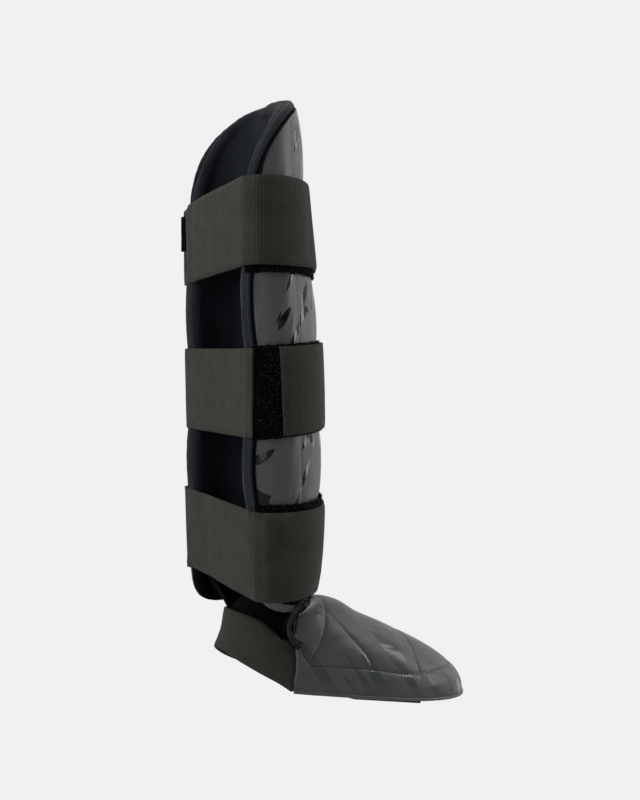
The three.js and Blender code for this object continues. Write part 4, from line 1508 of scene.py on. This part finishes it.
foot_lines = {}
for name, stops in FOOT_SEAMS.items():
    for hand in (1, -1):
        foot_lines[name, hand] = foot_line(stops, hand)
sewn = near_tree([point for line in foot_lines.values() for point in line])
held = [point.index for point in foot.data.vertices if sewn.find(point.co)[2] < FOOT_SEAM_HELD]
held += open_edge(foot)
print("foot swells by up to", round(swell(foot, held, SWELL_PRESSURE, FOOT_SWELL) / MM, 2), "mm")
finer(foot, SKIN_LEVELS)
for line in foot_lines.values():
    press(foot, line, FOOT_SEAM_DEEP, SEAM_WIDE)
thicken(foot, FOOT_FOAM)
thin_out(foot, lambda place: min(1.0, TOE_SHARE + (toe_ahead - place.dot(foot_ahead)) / TOE_RUN))
print("foot has", len(foot.data.polygons), "faces,", len(foot_lines), "seams")

# %% Sew the foot's seams
# The arch is pressed into the foam and has no thread.
sewn_lines = [line for (name, hand), line in foot_lines.items() if name != "arch"]
sew("foot_stitches", sewn_lines, foot, pitch=3.2 * MM, length=2.9 * MM, thick=0.7 * MM,
    sink=0.1 * MM)

# %% [markdown]
# ## The foot's hem
# The coated skin is turned under along the open lower rim, which leaves a thin round hem. A bevel on the
# rim would follow the wall's facets. A narrow tube along the softened rim line looks as a turned hem does,
# a little fuller here and thinner there.

# %% Roll the foot's lower hem
HEM_ROLL, HEM_UP = 1.3 * MM, 0.7 * MM
HEM_ROUND, HEM_STEPS, HEM_SOFT = 10, 150, 2.5
HEM_END = 0.97
HEM_LONG = 0.4
TUBE_JOIN = 0.01 * MM
rim_path = [foot_place(0.0, share) for share in np.linspace(0.0, HEM_END, HEM_STEPS)]
rim_path += [foot_place(1.0, share) for share in np.linspace(HEM_END, 0.0, HEM_STEPS)]
rim_path = soften(np.array(rim_path), HEM_SOFT)


def roll_place(share, along_share):
    """A point of the tube along the rim."""
    step = round(along_share * (len(rim_path) - 1))
    way = Vector(rim_path[min(step + 1, len(rim_path) - 1)] - rim_path[max(step - 1, 0)]).normalized()
    out = way.cross(foot_up).normalized()
    turn = 2 * math.pi * share
    full = HEM_ROLL * (1 + 0.15 * noise.noise(Vector((step / 4, 1.0, 8.0))))
    centre = Vector(rim_path[step]) + foot_up * HEM_UP
    return centre + (out * math.cos(turn) + out.cross(way) * math.sin(turn)) * full


mesh = grid(HEM_ROUND, len(rim_path) - 1, roll_place, 2 * math.pi * HEM_ROLL, HEM_LONG)
close_tube(mesh, TUBE_JOIN)
hem = finish_piece(mesh, "foot_hem_roll", skin_bare)
print("hem roll has", len(hem.data.polygons), "faces")

# %% [markdown]
# ## Behind the heel
# A wide elastic goes round behind the heel, and both its ends are sewn into the padded wall of the foot.
# It is the same webbing as the straps, so it takes the same relief. Left as read from its solid it would
# only touch the foot and show daylight there. So its ends run on into the wall, where the skin hides them,
# and its free edges flare behind the heel, where nothing holds them.

# %% The heel elastic
HEEL_LEVELS, HEEL_SOFT = 14, 6 * MM
# Uneven columns to drop at each end, and how far and deep the ends run on into the foot.
END_BAD = 9
TUCK, TUCK_DEEP = 17 * MM, 3 * MM
# The upper edge sinks that much towards the ends.
END_SINK, END_SINK_LONG = 6.5 * MM, 24 * MM
FLARE, FLARE_BACK = 2.6 * MM, 34 * MM
HEEL_LIFT = 2.0 * MM
END_DROP, END_DROP_LONG = 2.5 * MM, 15 * MM


def heel_change(point, outward, distance, level):
    """Ribbed as a strap; behind the heel its edges are free and flare, and its right end widens down."""
    behind = max(0.0, -point.x / FLARE_BACK)
    flare = outward * FLARE * behind * abs(1.9 * level - 1) ** 1.5
    lift = HEEL_LIFT * behind ** 4 * (1 - level) ** 3
    drop = END_DROP * max(0.0, 1 - abs(length - TUCK - distance) / END_DROP_LONG) ** 2 * (1 - level)
    return rib_change(point, outward, distance, level) + flare + Vector((0, 0, lift - drop))


def tuck(end):
    """Columns that carry an end of the heel elastic on along the foot, into its padded wall."""
    far = np.arange(1, round(TUCK / RIB_COLUMN) + 1)[:, None, None] * RIB_COLUMN
    columns = end[None] + far * np.array(foot_ahead)
    columns[:, :, 1] -= np.sign(end[:, 1]) * TUCK_DEEP * (far[:, :, 0] / TUCK) ** 2
    return columns


points, length = read_band("heel_strap", 1, math.pi, RIB_COLUMN, HEEL_LEVELS, 0.0)
points = soften(points[END_BAD:-END_BAD], HEEL_SOFT / RIB_COLUMN)
from_start = np.arange(len(points)) * RIB_COLUMN
near_end = np.clip(1 - np.minimum(from_start, from_start[::-1]) / END_SINK_LONG, 0, 1) ** 2
points[:, :, 2] -= END_SINK * near_end[:, None] * np.linspace(0, 1, points.shape[1]) ** 2
heel_points = points
points = np.concatenate([tuck(points[0])[::-1], points, tuck(points[-1])])
length += 2 * TUCK - 2 * END_BAD * RIB_COLUMN
width = mean_width(points)
heel = band_piece("elastic_heel", points, length, width, elastic, "elastic", "heel_strap", heel_change)
thicken(heel, STRAP_THICK)
print("heel elastic", round(length / MM), "by", round(width / MM, 1), "mm")

# %% [markdown]
# ## Under the foot
# The same webbing goes across below the ball of the foot. It isn't a ring round the leg, so a band can't
# be read from it. Parallel rays straight up from the floor of the foot find its lower face instead, in a
# grid with the same four columns to a rib.

# %% The sole elastic
SOLE_LEVELS, SOLE_INSET = 16, 0.1 * MM
RAY_DROP, RAY_LONG, SOLE_NEAR = 50 * MM, 100 * MM, 45 * MM
sole_tree = tree_of("sole_strap")
sole_low, sole_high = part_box("sole_strap")
sole_corners = [point.co.dot(foot_ahead) for point in frame["nodes"]["sole_strap"].data.vertices]
sole_rear, sole_front = min(sole_corners) + SOLE_INSET, max(sole_corners) - SOLE_INSET


def sole_place(share, along_share):
    """A point of the elastic's lower face, ribbed from side to side."""
    across = sole_low.y + SOLE_INSET + (sole_high.y - sole_low.y - 2 * SOLE_INSET) * share
    ahead = sole_rear + (sole_front - sole_rear) * along_share
    start = foot_ahead * ahead + foot_up * (rim_level - RAY_DROP) + Vector((0, across, 0))
    found = sole_tree.ray_cast(start, foot_up, RAY_LONG)[0]
    if found is None:
        found = sole_tree.find_nearest(start + foot_up * SOLE_NEAR)[0]
    rib = 0.5 + 0.5 * math.cos(2 * math.pi * across / RIB)
    return found - foot_up * RIB_HIGH * rib


sole_width, sole_long = sole_front - sole_rear, sole_high.y - sole_low.y
mesh = grid(round(sole_long / RIB_COLUMN), SOLE_LEVELS, sole_place, sole_long, sole_width)
turn_faces(mesh, lambda face: -foot_up)
sole = finish_piece(mesh, "elastic_sole", elastic, ["sole_strap"])
thicken(sole, STRAP_THICK)
print("sole elastic", round(sole_width / MM, 1), "mm wide")

# %% [markdown]
# ## The ankle
# Between the shell and the foot a thin cloth panel bends with the ankle, so it lies in loose folds. A
# Cloth run would fold it, but so short a band hardly falls. It is read as a band, pleated by noise that is
# strongest in its middle, and its upper edge is drawn up inside the shell, where it is sewn.

# %% The ankle panel
PANEL_PACE, PANEL_LEVELS, PANEL_SOFT = 1.0 * MM, 18, 1.5 * MM
PANEL_LAP, LAP_FROM = 11 * MM, 0.6
PLEAT, PLEAT_WIDE = 0.9 * MM, 7 * MM
PANEL_THICK = 1.6 * MM


def pleat_change(point, outward, distance, level):
    """Upright pleats, and a lap at the upper edge."""
    fold = noise.noise(Vector((distance / PLEAT_WIDE, level * 1.2, 3.0)))
    lap = PANEL_LAP * max(0.0, (level - LAP_FROM) / (1 - LAP_FROM)) ** 2
    return point + outward * PLEAT * fold * math.sin(math.pi * level) + Vector((0, 0, lap))


points, length = read_band("ankle_panel", 1, 0.0, PANEL_PACE, PANEL_LEVELS, PANEL_SOFT)
width = mean_width(points) + PANEL_LAP
# Near-black knit, partly painted shade: the panel lies deep behind the ankle.
panel = band_piece("ankle_panel_cloth", points, length, width, black_knit_painted_shade, "lining_cloth",
                   "ankle_panel", pleat_change)
thicken(panel, PANEL_THICK)
print("ankle panel", round(length / MM), "by", round(width / MM, 1), "mm")

# %% [markdown]
# ## The side gussets
# At each side of the ankle a loose piece of black knit closes the gap between the shell, the foot and the
# heel elastic; its near-black is partly painted shade of that deep gap. Its seams are already there, as
# edges of those pieces. bridge_loops could join two edges, but they have different counts of points. So a
# grid is stretched between two lines: one along the shell's hem, the other along the foot's rear edge and
# on along the elastic, with slack between them.

# %% Lines for a gusset
from mathutils.geometry import area_tri

GUSSET_BACK = -26 * MM
GUSSET_UP = 0.012
GUSSET_HEM = np.linspace(0.4, 0.99, 40)
GUSSET_FOOT = np.linspace(0.35, 0.6, 12)
# The cloth is sewn that far inside the foot and the elastic, to one point in six of the elastic's edge.
SEWN_IN = 2 * MM
HEEL_FIRST, HEEL_EVERY = 2, 6


def spot_on(line, share):
    """A point at a share of a row of points."""
    place = share * (len(line) - 1)
    first = min(int(place), len(line) - 2)
    return line[first].lerp(line[first + 1], place - first)


def gusset_lines(hand):
    """The upper and the lower seam of the gusset at one hand."""
    edge = [Vector(point) for point in heel_points[::hand, -1]]
    heel_edge = [point for point in edge if point.x > GUSSET_BACK and point.y * hand > 0]
    foot_edge = [foot_place((1 + hand * side) / 2, 0.0) for side in GUSSET_FOOT]
    inside = Vector((0, -hand * SEWN_IN, -SEWN_IN))
    lower = [point + inside for point in foot_edge + heel_edge[HEEL_FIRST::HEEL_EVERY]]
    upper = [shell_point(hand * side, GUSSET_UP, inner_face, lining_tree) for side in GUSSET_HEM]
    return upper, lower


print("seams of the right gusset", [round(run_along(line)[-1] / MM) for line in gusset_lines(-1)], "mm")

# %% Hang the gussets
GUSSET_GRID, GUSSET_CUT = (60, 26), (60 * MM, 30 * MM)
GUSSET_THICK = 1.0 * MM
# In millimetres: how far it lies inside its seams, how far it sags there, and how much folds change that.
GUSSET_IN, GUSSET_SAG, GUSSET_FOLD = 1, 2, 1.6


def gusset(name, hand):
    """A loose cloth between its two seams, folded inwards."""
    upper, lower = gusset_lines(hand)

    def place(share, down):
        top, bottom = spot_on(upper, share), spot_on(lower, share)
        inward = -Vector((*top.xy, 0)).normalized()
        fold = noise.noise(Vector((share * 9, down * 1.5, 6.0)))
        sag = (GUSSET_SAG + GUSSET_FOLD * fold) * math.sin(math.pi * down)
        return top.lerp(bottom, down) + inward * MM * (GUSSET_IN + sag)

    mesh = grid(*GUSSET_GRID, place, *GUSSET_CUT)
    turn_faces(mesh, away)
    # Near-black knit, partly painted shade of the deep gap at the ankle.
    cloth = finish_piece(mesh, name, black_knit_painted_shade)
    thicken(cloth, GUSSET_THICK)
    rungs = [(spot_on(upper, share), spot_on(lower, share)) for share in np.linspace(0, 1, 41)]
    gap_area = sum(area_tri(a, c, b) + area_tri(b, c, d) for (a, b), (c, d) in zip(rungs, rungs[1:]))
    wide = max(run_along(upper)[-1], run_along(lower)[-1])


for side, hand in (("right", -1), ("left", 1)):
    gusset(f"ankle_gusset_{side}", hand)

# %% [markdown]
# ## The gathered strands
# At each side of the ankle a strip of the coated skin is gathered tight between the hem and the foot, like
# a twisted ribbon. A curve with a bevel would be round and plain. The strand is a grid rolled to a flat
# tube, whose section is pleated by a cosine that also turns on its way down. It is narrow at the pinch and
# fans out where it is sewn to the foot.

# %% The gathered strands
ROUND, DOWN = 48, 72
STRAND_CUT = (30 * MM, 42 * MM)
STRAND_SOFT, STRAND_FLAT = 4, 0.45
# Pleats round the section, how far they turn on the way down, and how deep they are.
PLEATS, PLEAT_TURN, PLEAT_SHARE = 8, 7, 0.8
# The strand of the wearer's right side, in millimetres, from the hem down to the foot, and its half widths.
STRAND = [(5.5, -63.5, -142), (3.3, -62, -148), (0.5, -58, -155), (-1.3, -54.5, -162), (-0.5, -52, -168),
          (5.5, -47, -175.5), (15.5, -40.6, -182.5)]
STRAND_HALF = [3.8, 3.0, 2.2, 1.9, 1.7, 2.8, 4.0]


def strand(name, node, hand):
    """A flat pleated tube that is pinched to a knot and fans out below it."""
    marks = np.linspace(0, 1, len(STRAND))
    fine = np.linspace(0, 1, DOWN + 1)
    line = np.stack([np.interp(fine, marks, values) for values in zip(*STRAND)], 1) * MM
    line = soften(line, STRAND_SOFT)
    line[:, 1] *= -hand

    def place(share, down):
        turn = 2 * math.pi * share
        step = round(down * DOWN)
        way = Vector(line[min(step + 1, DOWN)] - line[max(step - 1, 0)]).normalized()
        outward = Vector((0, hand, 0))
        outward = (outward - way * outward.dot(way)).normalized()
        broad = way.cross(outward)
        half = float(np.interp(down, marks, STRAND_HALF)) * MM
        pleat = 1 + PLEAT_SHARE * math.cos(PLEATS * turn + PLEAT_TURN * down) * abs(math.sin(turn))
        deep = half * STRAND_FLAT * math.sin(turn) * pleat
        return Vector(line[step]) + broad * half * math.cos(turn) + outward * deep

    mesh = grid(ROUND, DOWN, place, *STRAND_CUT)
    close_tube(mesh, TUBE_JOIN)
    return finish_piece(mesh, name, skin_gathered, [node])


for side, hand in (("right", -1), ("left", 1)):
    piece = strand(f"ankle_strand_{side}", f"ankle_tab_{side}", hand)
    area = sum(face.area for face in piece.data.polygons) / 2
    print(piece.name, "covers", round(area * 1e6), "square mm")
